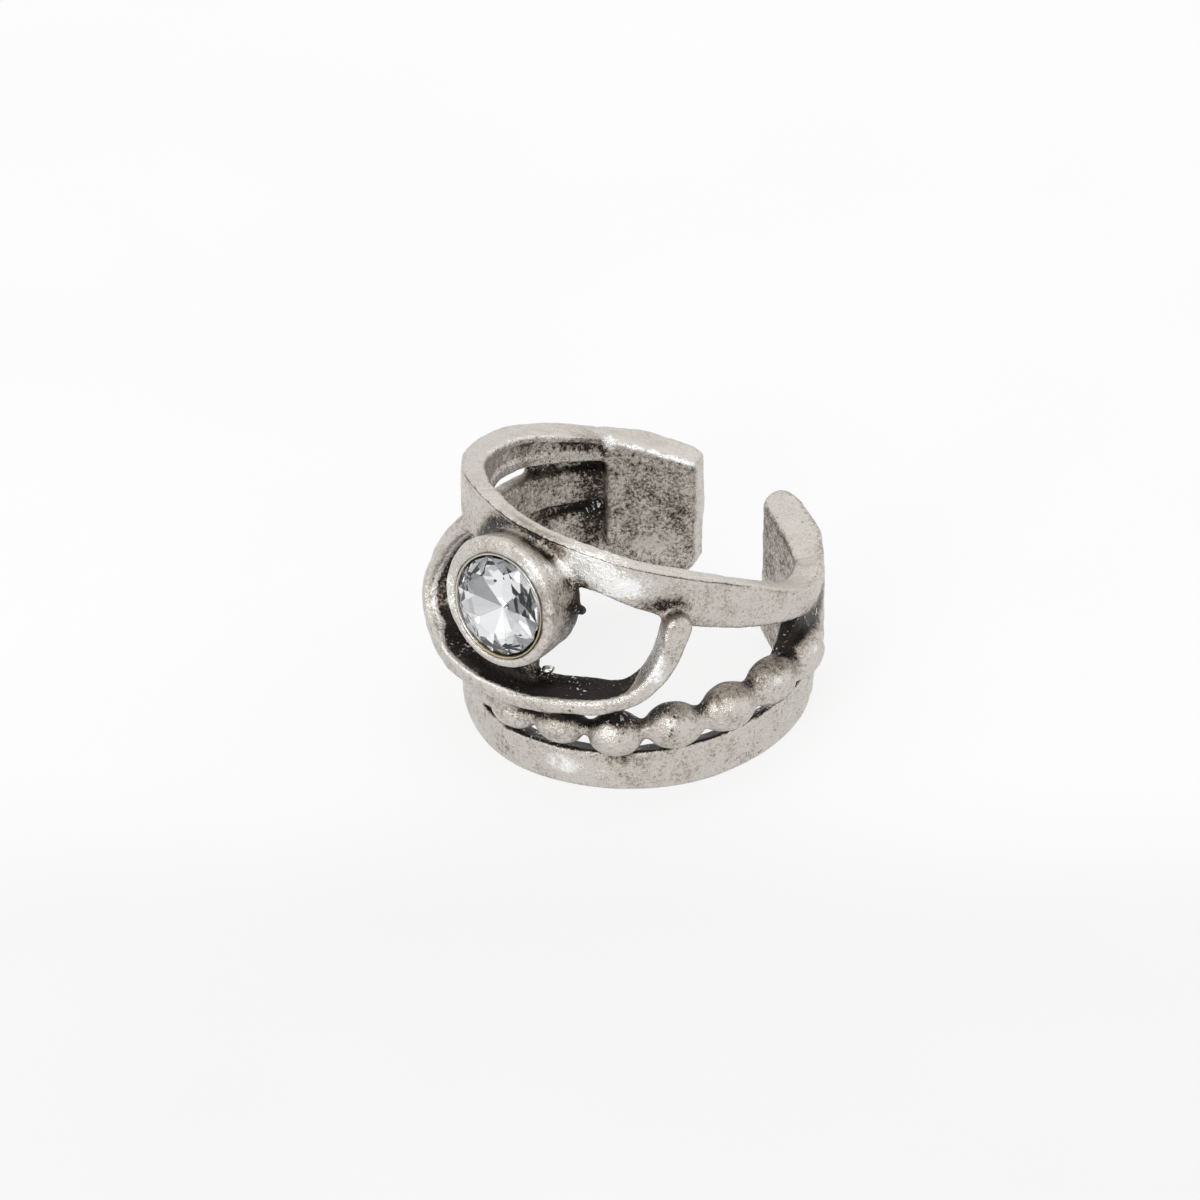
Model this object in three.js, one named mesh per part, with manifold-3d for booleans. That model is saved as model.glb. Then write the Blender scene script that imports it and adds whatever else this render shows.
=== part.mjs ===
// Open cuff ring of layered strands, lying on its side, with a round stone in a tube setting.
// Millimetres, +Z up along the finger hole. Angles turn anticlockwise from +X seen from above:
// the stone faces -Y (270 degrees) and the open ends face +Y (90 degrees).

import * as THREE from 'three';
import Module from 'manifold-3d';
import { mergeVertices } from 'three/addons/utils/BufferGeometryUtils.js';
import { ConvexGeometry } from 'three/addons/geometries/ConvexGeometry.js';

// ---- driving dimensions ----

// Where the finger hole stands, so that the origin is at the middle of the object's base.
const holeCentre = { x: -0.63, y: 1.28 };

const sectionStepDeg = 5;
const cornerCut = 0.2;
const endCurve = [
  { reach: 0, inset: 0 },
  { reach: 0.5, inset: 0.13 },
  { reach: 0.87, inset: 0.5 },
  { reach: 1, inset: 0.85 },
];

// Strands that run round the hole: angle, bottom and top height, inner and outer radius, and how
// far the inner top edge drops.
const upperBand = [
  { deg: 108, low: 8.6, high: 9.8, inner: 8.95, outer: 10.5 },
  { deg: 128, low: 9.2, high: 10.75, inner: 8.85, outer: 10.55 },
  { deg: 141, low: 9.75, high: 11.3, inner: 8.85, outer: 10.45 },
  { deg: 158, low: 10.35, high: 12.35, inner: 8.62, outer: 10.4 },
  { deg: 178, low: 11.3, high: 13.55, inner: 8.6, outer: 10.4 },
  { deg: 196, low: 12.0, high: 14.45, inner: 8.6, outer: 10.25 },
  { deg: 220, low: 12.3, high: 15.75, inner: 8.7, outer: 10.1 },
  { deg: 240, low: 12.9, high: 16.5, inner: 8.85, outer: 9.95 },
  { deg: 264, low: 13.3, high: 16.5, inner: 8.95, outer: 9.9 },
  { deg: 291, low: 13.5, high: 16.0, inner: 8.95, outer: 9.9 },
  { deg: 310, low: 12.3, high: 15.2, inner: 8.95, outer: 9.95 },
  { deg: 330, low: 10.7, high: 14.05, inner: 8.95, outer: 9.95 },
  { deg: 348, low: 9.7, high: 12.65, inner: 9.0, outer: 10.15 },
  { deg: 362, low: 9.0, high: 11.25, inner: 9.05, outer: 10.6 },
  { deg: 375, low: 8.2, high: 10.05, inner: 9.1, outer: 10.9 },
  { deg: 394, low: 7.6, high: 9.7, inner: 9.1, outer: 11.0 },
];
const bottomBand = [
  { deg: 120, low: 2.3, high: 4.6, inner: 8.95, outer: 10.4, drop: 0.0 },
  { deg: 145, low: 1.8, high: 4.3, inner: 8.95, outer: 10.4, drop: 0.0 },
  { deg: 168, low: 0.85, high: 3.5, inner: 8.95, outer: 10.35, drop: 0.0 },
  { deg: 190, low: 0.2, high: 2.9, inner: 8.95, outer: 10.25, drop: 0.0 },
  { deg: 210, low: 0, high: 2.6, inner: 9.0, outer: 10.2, drop: 0.0 },
  { deg: 235, low: 0, high: 2.5, inner: 9.05, outer: 10.25, drop: 0.0 },
  { deg: 266, low: 0, high: 2.6, inner: 9.15, outer: 10.7, drop: 0.5 },
  { deg: 297, low: 0, high: 2.75, inner: 9.1, outer: 10.5, drop: 0.5 },
  { deg: 325, low: 0, high: 2.95, inner: 9.05, outer: 10.3, drop: 0.5 },
  { deg: 350, low: 0, high: 3.1, inner: 9.05, outer: 10.1, drop: 0.5 },
  { deg: 395, low: 0, high: 2.9, inner: 9.15, outer: 10.3, drop: 0.4 },
];
const middleStrand = [
  { deg: 130, low: 6.7, high: 8.7, inner: 9.3, outer: 10.4 },
  { deg: 150, low: 6.75, high: 9.1, inner: 9.25, outer: 10.4 },
  { deg: 168, low: 7.1, high: 9.65, inner: 9.15, outer: 10.4 },
  { deg: 190, low: 7.4, high: 10.15, inner: 9.0, outer: 10.4 },
  { deg: 208, low: 7.3, high: 10.2, inner: 9.1, outer: 11.0 },
  { deg: 219, low: 6.9, high: 9.9, inner: 9.6, outer: 11.8 },
];
const lowerStrand = [
  { deg: 130, low: 3.4, high: 6.3, inner: 9.35, outer: 10.4 },
  { deg: 156, low: 3.3, high: 6.25, inner: 9.25, outer: 10.4 },
  { deg: 180, low: 2.8, high: 5.6, inner: 9.05, outer: 10.45 },
  { deg: 210, low: 2.4, high: 5.0, inner: 9.1, outer: 10.6 },
  { deg: 240, low: 2.35, high: 4.7, inner: 9.1, outer: 10.7 },
  { deg: 266, low: 3.2, high: 4.9, inner: 9.5, outer: 10.8 },
];
const beadCore = [
  { deg: 258, low: 3.3, high: 4.4, inner: 9.9, outer: 10.9 },
  { deg: 283, low: 3.9, high: 4.85, inner: 10.0, outer: 11.0 },
  { deg: 302, low: 3.9, high: 4.85, inner: 10.0, outer: 11.0 },
  { deg: 320, low: 4.1, high: 5.3, inner: 10.0, outer: 11.1 },
  { deg: 338, low: 4.4, high: 5.9, inner: 9.9, outer: 11.15 },
  { deg: 357, low: 4.7, high: 6.3, inner: 9.8, outer: 11.15 },
  { deg: 373, low: 4.5, high: 6.4, inner: 9.7, outer: 11.1 },
  { deg: 392, low: 4.1, high: 6.0, inner: 9.5, outer: 11.0 },
];
const backWeb = [
  { deg: 130, low: 3.6, high: 10.2, inner: 9.85, outer: 10.35 },
  { deg: 158, low: 4.2, high: 11.1, inner: 9.85, outer: 10.3 },
  { deg: 169, low: 4.2, high: 11.5, inner: 9.85, outer: 10.3 },
];
const lowWeb = [
  { deg: 164, low: 4.4, high: 8.6, inner: 9.7, outer: 10.2 },
  { deg: 190, low: 4.0, high: 8.4, inner: 9.7, outer: 10.2 },
  { deg: 212, low: 3.8, high: 8.2, inner: 9.75, outer: 10.3 },
];

// End plates: as above, with how far the outer face draws in at the foot and the inner top edge drops.
const leftPlate = [
  { deg: 106.2, low: 2.6, high: 9.75, inner: 9.0, outer: 10.6, foot: 0.1, drop: 0.0 },
  { deg: 110, low: 2.0, high: 9.95, inner: 8.88, outer: 10.65, foot: 0.1, drop: 0.0 },
  { deg: 118, low: 1.8, high: 10.3, inner: 8.72, outer: 10.65, foot: 0.1, drop: 0.0 },
  { deg: 127, low: 1.6, high: 10.7, inner: 8.7, outer: 10.65, foot: 0.1, drop: 0.0 },
  { deg: 140.5, low: 1.6, high: 11.25, inner: 8.78, outer: 10.5, foot: 0.0, drop: 0.0 },
];
const rightPlate = [
  { deg: 358, low: 5.0, high: 6.6, inner: 9.6, outer: 10.4, foot: 0.0, drop: 0.0 },
  { deg: 368, low: 4.8, high: 7.6, inner: 9.4, outer: 10.4, foot: 0.0, drop: 0.0 },
  { deg: 376, low: 4.4, high: 9.0, inner: 9.2, outer: 10.3, foot: 0.0, drop: 0.1 },
  { deg: 386, low: 2.0, high: 9.8, inner: 9.1, outer: 10.5, foot: 0.3, drop: 0.3 },
  { deg: 394, low: 0, high: 9.7, inner: 9.1, outer: 10.9, foot: 0.7, drop: 0.4 },
  { deg: 404, low: 0, high: 9.78, inner: 8.75, outer: 10.92, foot: 0.7, drop: 0.5 },
  { deg: 415, low: 0, high: 9.85, inner: 8.58, outer: 10.85, foot: 0.75, drop: 0.6 },
  { deg: 426, low: 0, high: 9.8, inner: 8.72, outer: 10.85, foot: 0.75, drop: 0.6 },
  { deg: 437.5, low: 0, high: 9.6, inner: 9.2, outer: 10.9, foot: 0.7, drop: 0.6 },
];
const bellyHeightShare = 0.55;
const plateTopLean = 0.12;

// The bead granules: where each sits and its half-size along the strand and upright.
const beads = [
  { deg: 267.5, radius: 10.45, z: 4.1, along: 1.6, upright: 1.15 },
  { deg: 284.3, radius: 10.45, z: 4.25, along: 1.55, upright: 1.2 },
  { deg: 302.5, radius: 10.5, z: 4.15, along: 1.6, upright: 1.4 },
  { deg: 320.5, radius: 10.5, z: 4.65, along: 1.7, upright: 1.45 },
  { deg: 338.5, radius: 10.5, z: 5.1, along: 1.75, upright: 1.45 },
  { deg: 355.5, radius: 10.5, z: 5.5, along: 1.75, upright: 1.5 },
  { deg: 372, radius: 10.6, z: 5.7, along: 1.75, upright: 1.5 },
];
const beadDepth = 1.25;

// The loop: a strip on edge whose centre line circles the setting, with its inner and outer radius.
const loopStepsPerRow = 3;
const loopEndInset = 0.25;
const loopPath = [
  { deg: 236, z: 13.6, inner: 9.3, outer: 9.85, wide: 0.9 },
  { deg: 230, z: 12.6, inner: 9.3, outer: 10.25, wide: 0.9 },
  { deg: 224, z: 11.3, inner: 9.5, outer: 10.95, wide: 0.9 },
  { deg: 220, z: 9.5, inner: 9.7, outer: 11.65, wide: 0.9 },
  { deg: 218.5, z: 7.6, inner: 9.9, outer: 12.3, wide: 0.9 },
  { deg: 221, z: 6.0, inner: 9.9, outer: 12.4, wide: 0.95 },
  { deg: 229, z: 5.2, inner: 9.7, outer: 12.1, wide: 1.0 },
  { deg: 240, z: 5.05, inner: 9.4, outer: 12.0, wide: 1.0 },
  { deg: 252, z: 5.1, inner: 9.2, outer: 11.8, wide: 1.0 },
  { deg: 264, z: 5.35, inner: 9.05, outer: 11.65, wide: 1.0 },
  { deg: 276, z: 5.65, inner: 9.0, outer: 11.6, wide: 1.0 },
  { deg: 288, z: 6.15, inner: 9.0, outer: 11.6, wide: 0.95 },
  { deg: 299, z: 6.52, inner: 9.1, outer: 11.6, wide: 0.95 },
  { deg: 307.2, z: 7.15, inner: 9.4, outer: 11.55, wide: 1.0 },
  { deg: 313.8, z: 8.3, inner: 9.5, outer: 11.45, wide: 1.1 },
  { deg: 318.4, z: 9.85, inner: 9.5, outer: 11.3, wide: 1.35 },
  { deg: 321.2, z: 11.3, inner: 9.5, outer: 11.1, wide: 1.6 },
  { deg: 321.8, z: 12.1, inner: 9.5, outer: 11.0, wide: 1.6 },
];

// The tube setting: its mouth centre, how far the axis tilts up, and its turned shape.
const settingMouth = { side: -0.18, radius: 12.2, z: 12.5 };
const settingTiltDeg = 10.5;
const settingLength = 3.1;
const settingMouthRadius = 3.85;
const settingBaseRadius = 3.55;
const settingLipRounding = 0.2;
const seatDrop = 0.24;
const seatRadius = 3.17;
const seatWallDepth = 1.1;
const seatFloorRadius = 1.1;
const seatDepth = 2.45;
const turnedSteps = 40;
const fingerClearance = 8.95;
const fingerLength = 40;

// The solder web that ties the foot of the setting to the loop.
const footWeb = [
  { deg: 232, low: 4.6, high: 10.4, inner: 9.5, outer: 10.1 },
  { deg: 255, low: 4.6, high: 10.0, inner: 9.4, outer: 10.0 },
  { deg: 274, low: 5.0, high: 9.4, inner: 9.5, outer: 10.0 },
];

// The stone and the thin cup around it.
const runningGap = 0.05;
const cupWall = 0.19;
const stoneRadius = 2.85;
const girdleTop = -0.2;
const girdleHeight = 0.15;
const crownHeight = 0.65;
const tableRadius = 1.65;
const starRadius = 2.25;
const starHeightShare = 0.45;
const pavilionDepth = 1.6;
const stoneFacets = 8;

// ---- helpers ----

const wasm = await Module();
wasm.setup();

// Gives a point from its angle, radius and height about the finger hole.
function aroundHole(deg, radius, z) {
  const angle = THREE.MathUtils.degToRad(deg);
  return new THREE.Vector3(radius * Math.cos(angle), radius * Math.sin(angle), z);
}

// Reads a table between its rows with a smooth curve; the rows are spaced by `positions`.
function smoothTable(rows, positions) {
  const columns = Object.keys(rows[0]);
  const values = rows.flatMap((row) => columns.map((name) => row[name]));
  const curve = new THREE.CubicInterpolant(positions, values, columns.length);
  return (position) => {
    const found = curve.evaluate(position);
    return Object.fromEntries(columns.map((name, i) => [name, found[i]]));
  };
}

// Joins a row of equal closed outlines into one closed skin with a flat fan at each end.
function loft(outlines) {
  const count = outlines[0].length;
  const positions = outlines.flat().flatMap((point) => point.toArray());
  const faces = [];
  for (let row = 0; row < outlines.length - 1; row += 1) {
    for (let i = 0; i < count; i += 1) {
      const here = row * count + i;
      const next = row * count + ((i + 1) % count);
      faces.push(here, next + count, next, here, here + count, next + count);
    }
  }
  const lastStart = (outlines.length - 1) * count;
  for (const start of [0, lastStart]) {
    const outline = outlines[start / count];
    const middle = outline.reduce((sum, point) => sum.add(point), new THREE.Vector3()).divideScalar(count);
    const hub = positions.length / 3;
    positions.push(...middle.toArray());
    for (let i = 0; i < count; i += 1) {
      const here = start + i;
      const next = start + ((i + 1) % count);
      faces.push(...(start === 0 ? [hub, here, next] : [hub, next, here]));
    }
  }
  const geometry = new THREE.BufferGeometry();
  geometry.setAttribute('position', new THREE.Float32BufferAttribute(positions, 3));
  geometry.setIndex(faces);
  return geometry;
}

// The cut-cornered outline of a strand at one angle, never below the floor it rests on.
// `inset` draws every side in, for a rounded end.
function strandOutline({ deg, low, high, inner, outer, foot = 0, drop = 0 }, inset) {
  const near = inner + inset;
  const far = outer - inset;
  const bottom = Math.max(low, 0) + inset;
  const top = high - inset;
  const cut = Math.min(cornerCut, 0.3 * (far - near), 0.3 * (top - bottom));
  const lean = foot > 0 ? plateTopLean : 0;
  const belly = bottom + bellyHeightShare * (top - bottom);
  const corners = [
    [near + cut, bottom], [far - foot - cut, bottom], [far - foot, bottom + cut],
    [far, belly],
    [far - lean, top - cut], [far - lean - cut, top],
    [near + cut, top - drop], [near, top - drop - cut], [near, bottom + cut],
  ];
  return corners.map(([radius, z]) => aroundHole(deg, radius, z));
}

// A strand or plate swept round the hole through its table of sections, with rounded ends.
function strand(rows) {
  const section = smoothTable(rows, rows.map((row) => row.deg));
  const first = rows[0];
  const last = rows.at(-1);
  const start = first.deg + endSpanDeg(first);
  const span = last.deg - endSpanDeg(last) - start;
  const steps = Math.ceil(span / sectionStepDeg);
  const body = Array.from({ length: steps - 1 }, (_, i) => start + (span * (i + 1)) / steps);
  return loft([
    ...endCurve.map((step) => strandEnd(section, first, step, 1)).reverse(),
    ...body.map((deg) => strandOutline(section(deg), 0)),
    ...endCurve.map((step) => strandEnd(section, last, step, -1)),
  ]);
}

// The rounding radius of a strand's end, half its lesser side, and the angle it spans.
function endRadius({ low, high, inner, outer }) {
  return Math.min(outer - inner, high - low) / 2;
}

function endSpanDeg(row) {
  return THREE.MathUtils.radToDeg(endRadius(row) / row.outer);
}

// One outline of a strand's rounded end; `side` is the way from the tip to the body.
function strandEnd(section, row, { reach, inset }, side) {
  const deg = row.deg + side * (1 - reach) * endSpanDeg(row);
  return strandOutline(section(deg), inset * endRadius(row));
}

// The edge-on strip that circles the setting.
function loopStrip() {
  const place = smoothTable(loopPath, loopPath.map((row, i) => i));
  const last = loopPath.length - 1;
  const steps = last * loopStepsPerRow;
  const outlines = Array.from({ length: steps + 1 }, (_, i) => {
    const position = i / loopStepsPerRow;
    const inset = i === 0 || i === steps ? loopEndInset : 0;
    return loopOutline(place(position), loopHeading(place, position, last), inset);
  });
  return loft(outlines);
}

// The direction of the loop's centre line, as a unit step round the hole and upward.
function loopHeading(place, position, last) {
  const reach = 0.25;
  const before = place(Math.max(0, position - reach));
  const after = place(Math.min(last, position + reach));
  const round = THREE.MathUtils.degToRad(after.deg - before.deg) * before.outer;
  return new THREE.Vector2(round, after.z - before.z).normalize();
}

// The cut-cornered cross-section of the loop strip at one place.
function loopOutline({ deg, z, inner, outer, wide }, heading, inset) {
  const half = wide / 2 - inset;
  const near = inner + inset;
  const far = outer - inset;
  const cut = 0.3 * half;
  const corners = [
    [near + cut, -half], [far - cut, -half], [far, cut - half], [far, half - cut],
    [far - cut, half], [near + cut, half], [near, half - cut], [near, cut - half],
  ];
  return corners.map(([radius, across]) => {
    const turn = THREE.MathUtils.radToDeg((-heading.y * across) / radius);
    return aroundHole(deg + turn, radius, z + heading.x * across);
  });
}

// One bead of the strand.
function bead({ deg, radius, z, along, upright }) {
  const geometry = new THREE.SphereGeometry(1, 18, 12);
  geometry.rotateX(Math.PI / 2);
  geometry.scale(beadDepth, along, upright);
  geometry.rotateZ(THREE.MathUtils.degToRad(deg));
  const centre = aroundHole(deg, radius, z);
  return geometry.translate(centre.x, centre.y, centre.z);
}

// Turns a profile of [radius, depth] about the setting's own axis; depth 0 is the plane of its mouth.
function turned(profile, drop = 0) {
  const points = profile.map(([radius, depth]) => new THREE.Vector2(radius, depth));
  const geometry = new THREE.LatheGeometry(points, turnedSteps);
  return placedInSetting(geometry, drop);
}

// Moves a shape from the axis +Y at the origin to the setting, `drop` below the setting's centre line.
function placedInSetting(geometry, drop = 0) {
  geometry.translate(0, 0, drop);
  geometry.rotateX(Math.PI + THREE.MathUtils.degToRad(settingTiltDeg) * -1);
  return geometry.translate(settingMouth.side, -settingMouth.radius, settingMouth.z);
}

// Hands a geometry to the solid modeller.
function solid(geometry) {
  geometry.deleteAttribute('normal');
  geometry.deleteAttribute('uv');
  const welded = mergeVertices(geometry, 1e-5);
  const mesh = new wasm.Mesh({
    numProp: 3,
    vertProperties: new Float32Array(welded.attributes.position.array),
    triVerts: new Uint32Array(welded.index.array),
  });
  return new wasm.Manifold(mesh);
}

// Brings a joined solid back as a geometry.
function geometryOf(manifold) {
  const mesh = manifold.getMesh();
  const geometry = new THREE.BufferGeometry();
  geometry.setAttribute('position', new THREE.BufferAttribute(mesh.vertProperties, 3));
  geometry.setIndex(new THREE.BufferAttribute(mesh.triVerts, 1));
  geometry.computeVertexNormals();
  return geometry;
}

// ---- the pieces ----

// The tube of the setting, without its seat, kept clear of the finger.
function settingTube() {
  const tube = turned([
    [0, -settingLength],
    [settingBaseRadius, -settingLength],
    [settingMouthRadius, -2 * settingLipRounding],
    [settingMouthRadius - settingLipRounding, 0],
    [0, 0],
  ]);
  const finger = new THREE.CylinderGeometry(fingerClearance, fingerClearance, fingerLength, turnedSteps);
  finger.rotateX(Math.PI / 2);
  return solid(tube).subtract(solid(finger));
}

// The stepped hollow in the setting's mouth that takes the cup.
function seatHollow() {
  return solid(turned([
    [0, -seatDepth],
    [seatFloorRadius, -seatDepth],
    [seatRadius, -seatWallDepth],
    [seatRadius, seatRadius],
    [0, seatRadius],
  ], seatDrop));
}

// All the silver-coloured metal: strands, plates, beads, loop and setting, soldered into one.
function metalwork() {
  const strands = [upperBand, bottomBand, middleStrand, lowerStrand, backWeb, lowWeb, beadCore];
  const plates = [leftPlate, rightPlate, footWeb];
  const swept = [...strands, ...plates].map(strand);
  const parts = [...swept, loopStrip(), ...beads.map(bead)].map(solid);
  const joined = parts.reduce((sum, part) => sum.add(part), settingTube());
  return geometryOf(joined.subtract(seatHollow()));
}

// The thin cup that lines the seat and holds the stone.
function stoneCup() {
  const outside = seatRadius - runningGap;
  const inside = outside - cupWall;
  const girdleBottom = girdleTop - girdleHeight;
  const coneBottom = girdleBottom - pavilionDepth - 2 * runningGap;
  return turned([
    [0, runningGap - seatDepth],
    [seatFloorRadius - runningGap, runningGap - seatDepth],
    [outside, 2 * runningGap - seatWallDepth],
    [outside, 0],
    [inside, 0],
    [inside, girdleBottom - 2 * runningGap],
    [0, coneBottom - 2 * runningGap],
  ], seatDrop);
}

// One ring of the stone's corners, `count` of them, turned by `phase` steps.
function facetRing(radius, depth, count, phase) {
  return Array.from({ length: count }, (_, i) => {
    const angle = ((i + phase) / count) * 2 * Math.PI;
    return new THREE.Vector3(radius * Math.cos(angle), depth, radius * Math.sin(angle));
  });
}

// The brilliant-cut stone: table, star and girdle facets over a pointed pavilion.
function stone() {
  const girdleBottom = girdleTop - girdleHeight;
  const corners = [
    ...facetRing(tableRadius, girdleTop + crownHeight, stoneFacets, 0),
    ...facetRing(starRadius, girdleTop + crownHeight * starHeightShare, stoneFacets, 0.5),
    ...facetRing(stoneRadius, girdleTop, 2 * stoneFacets, 0),
    ...facetRing(stoneRadius, girdleBottom, 2 * stoneFacets, 0),
    new THREE.Vector3(0, girdleBottom - pavilionDepth, 0),
  ];
  return placedInSetting(new ConvexGeometry(corners), seatDrop);
}

const silver = { color: 0xb9b4ac, metalness: 0.9, roughness: 0.4 };
const gilt = { color: 0xc9b58a, metalness: 0.9, roughness: 0.35 };
const crystal = { color: 0xe6ebf2, metalness: 0.1, roughness: 0.05 };

// Wraps a geometry as a named mesh with its own material, set about the object's origin.
function piece(name, geometry, finish) {
  geometry.translate(holeCentre.x, holeCentre.y, 0);
  const mesh = new THREE.Mesh(geometry, new THREE.MeshStandardMaterial(finish));
  mesh.name = name;
  return mesh;
}

const ring = new THREE.Group();
ring.name = 'layered_ring';
ring.add(piece('metalwork', metalwork(), silver));
ring.add(piece('stone_cup', stoneCup(), gilt));
ring.add(piece('stone', stone(), crystal));

export default ring;
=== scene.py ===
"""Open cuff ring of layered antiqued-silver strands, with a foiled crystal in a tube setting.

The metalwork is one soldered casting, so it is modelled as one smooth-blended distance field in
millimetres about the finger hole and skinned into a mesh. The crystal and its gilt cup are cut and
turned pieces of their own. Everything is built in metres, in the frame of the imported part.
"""

import sys
import logging
import math
from dataclasses import dataclass
from enum import Enum

import bpy
import numpy as np
from mathutils import Matrix, Vector


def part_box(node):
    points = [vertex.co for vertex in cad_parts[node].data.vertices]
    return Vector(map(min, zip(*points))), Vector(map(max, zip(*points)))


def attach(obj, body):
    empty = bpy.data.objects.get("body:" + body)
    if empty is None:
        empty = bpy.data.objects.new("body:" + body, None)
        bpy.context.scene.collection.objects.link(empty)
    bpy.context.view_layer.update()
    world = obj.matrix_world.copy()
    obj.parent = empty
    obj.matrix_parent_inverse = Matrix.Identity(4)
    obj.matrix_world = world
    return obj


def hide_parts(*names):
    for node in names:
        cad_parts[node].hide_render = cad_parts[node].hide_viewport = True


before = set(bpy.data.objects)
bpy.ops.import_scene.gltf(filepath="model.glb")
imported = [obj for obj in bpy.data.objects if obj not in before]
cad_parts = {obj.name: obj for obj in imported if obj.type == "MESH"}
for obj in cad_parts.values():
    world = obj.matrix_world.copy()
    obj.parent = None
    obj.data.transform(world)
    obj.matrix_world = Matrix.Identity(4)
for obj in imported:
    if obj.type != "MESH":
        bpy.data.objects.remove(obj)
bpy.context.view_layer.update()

MM = 0.001
ARC = math.pi / 180.0
TURN = 2.0 * math.pi
TINY = 1e-9
ROOT = "root"
# From the metalwork's far corner to the middle of the finger hole, in millimetres.
HOLE_IN = (11.714, 10.425)
# An angle in the open gap between the two end plates, where a turn round the ring begins.
GAP = 100.0

Pair = tuple[float, float]
Triple = tuple[float, float, float]
Rows = tuple[tuple[float, ...], ...]
Socket = bpy.types.NodeSocket

log = logging.getLogger("layered_ring")


# ---- shaping helpers: distances are in millimetres, negative inside the metal ----


def solder(first: np.ndarray, second: np.ndarray, fillet: float) -> np.ndarray:
    """Joins two shapes with a fillet where they meet.

    Args:
        first: Distance to one shape.
        second: Distance to the other.
        fillet: How wide the melted joint is.

    Returns:
        The distance to the joined shape.
    """
    near = np.maximum(fillet - np.abs(first - second), 0.0) / fillet
    return np.minimum(first, second) - near * near * fillet * 0.25


def rounded(first: np.ndarray, second: np.ndarray, edge: float | np.ndarray) -> np.ndarray:
    """Keeps what is inside both shapes, with their shared edge rounded off.

    Args:
        first: Distance to one shape.
        second: Distance to the other.
        edge: The radius of the rounded edge.

    Returns:
        The distance to what both shapes share.
    """
    a = first + edge
    b = second + edge
    outside = np.hypot(np.maximum(a, 0.0), np.maximum(b, 0.0))
    return np.minimum(np.maximum(a, b), 0.0) + outside - edge


def ramp(value: np.ndarray, low: float, high: float) -> np.ndarray:
    """Rises smoothly from 0 at low to 1 at high, or falls where high is the lesser."""
    share = np.clip((value - low) / (high - low), 0.0, 1.0)
    return share * share * (3.0 - 2.0 * share)


def stretch(value: np.ndarray, rise: Pair, fall: Pair) -> np.ndarray:
    """Rises smoothly over one pair of limits and falls again over the other."""
    return ramp(value, *rise) * ramp(value, *fall)


def bell(value: np.ndarray, middle: float, width: float) -> np.ndarray:
    """Swells to 1 at the middle and dies away on both sides of it."""
    return np.exp(-(((value - middle) / width) ** 2))


def within(value: np.ndarray, limits: Pair) -> np.ndarray:
    """Tells which values lie between two limits."""
    return (value > limits[0]) & (value < limits[1])


def hermite(at: np.ndarray, value: np.ndarray, slope: np.ndarray, wanted: np.ndarray) -> np.ndarray:
    """Draws a smooth curve through rows of values.

    Args:
        at: Where the rows stand.
        value: Their values.
        slope: Their slopes.
        wanted: Where the curve is read.

    Returns:
        The curve's values.
    """
    row = np.clip(np.searchsorted(at, wanted, side="right") - 1, 0, len(at) - 2)
    span = at[row + 1] - at[row]
    t = (wanted - at[row]) / span
    near = (1.0 + 2.0 * t) * (1.0 - t) ** 2 * value[row] + t * (1.0 - t) ** 2 * span * slope[row]
    far = t * t * (3.0 - 2.0 * t) * value[row + 1] + t * t * (t - 1.0) * span * slope[row + 1]
    return near + far


class Points:
    """Places about the finger hole, read both straight and round the hole."""

    def __init__(self, places: np.ndarray) -> None:
        """Keeps the places.

        Args:
            places: An array of x, y, z rows.
        """
        self.places = places
        self.z = places[:, 2]
        self.radius = np.hypot(places[:, 0], places[:, 1])
        self.deg = np.degrees(np.arctan2(places[:, 1], places[:, 0]))

    def pick(self, wanted: np.ndarray) -> "Points":
        """Picks some of the places, without measuring them again.

        Args:
            wanted: The numbers of the wanted places.

        Returns:
            The wanted places.
        """
        chosen = Points.__new__(Points)
        chosen.places = self.places[wanted]
        chosen.z = self.z[wanted]
        chosen.radius = self.radius[wanted]
        chosen.deg = self.deg[wanted]
        return chosen

    def deg_from(self, start: float) -> np.ndarray:
        """Returns the angles wrapped into the turn that begins at start."""
        return start + np.mod(self.deg - start, 360.0)


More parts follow.
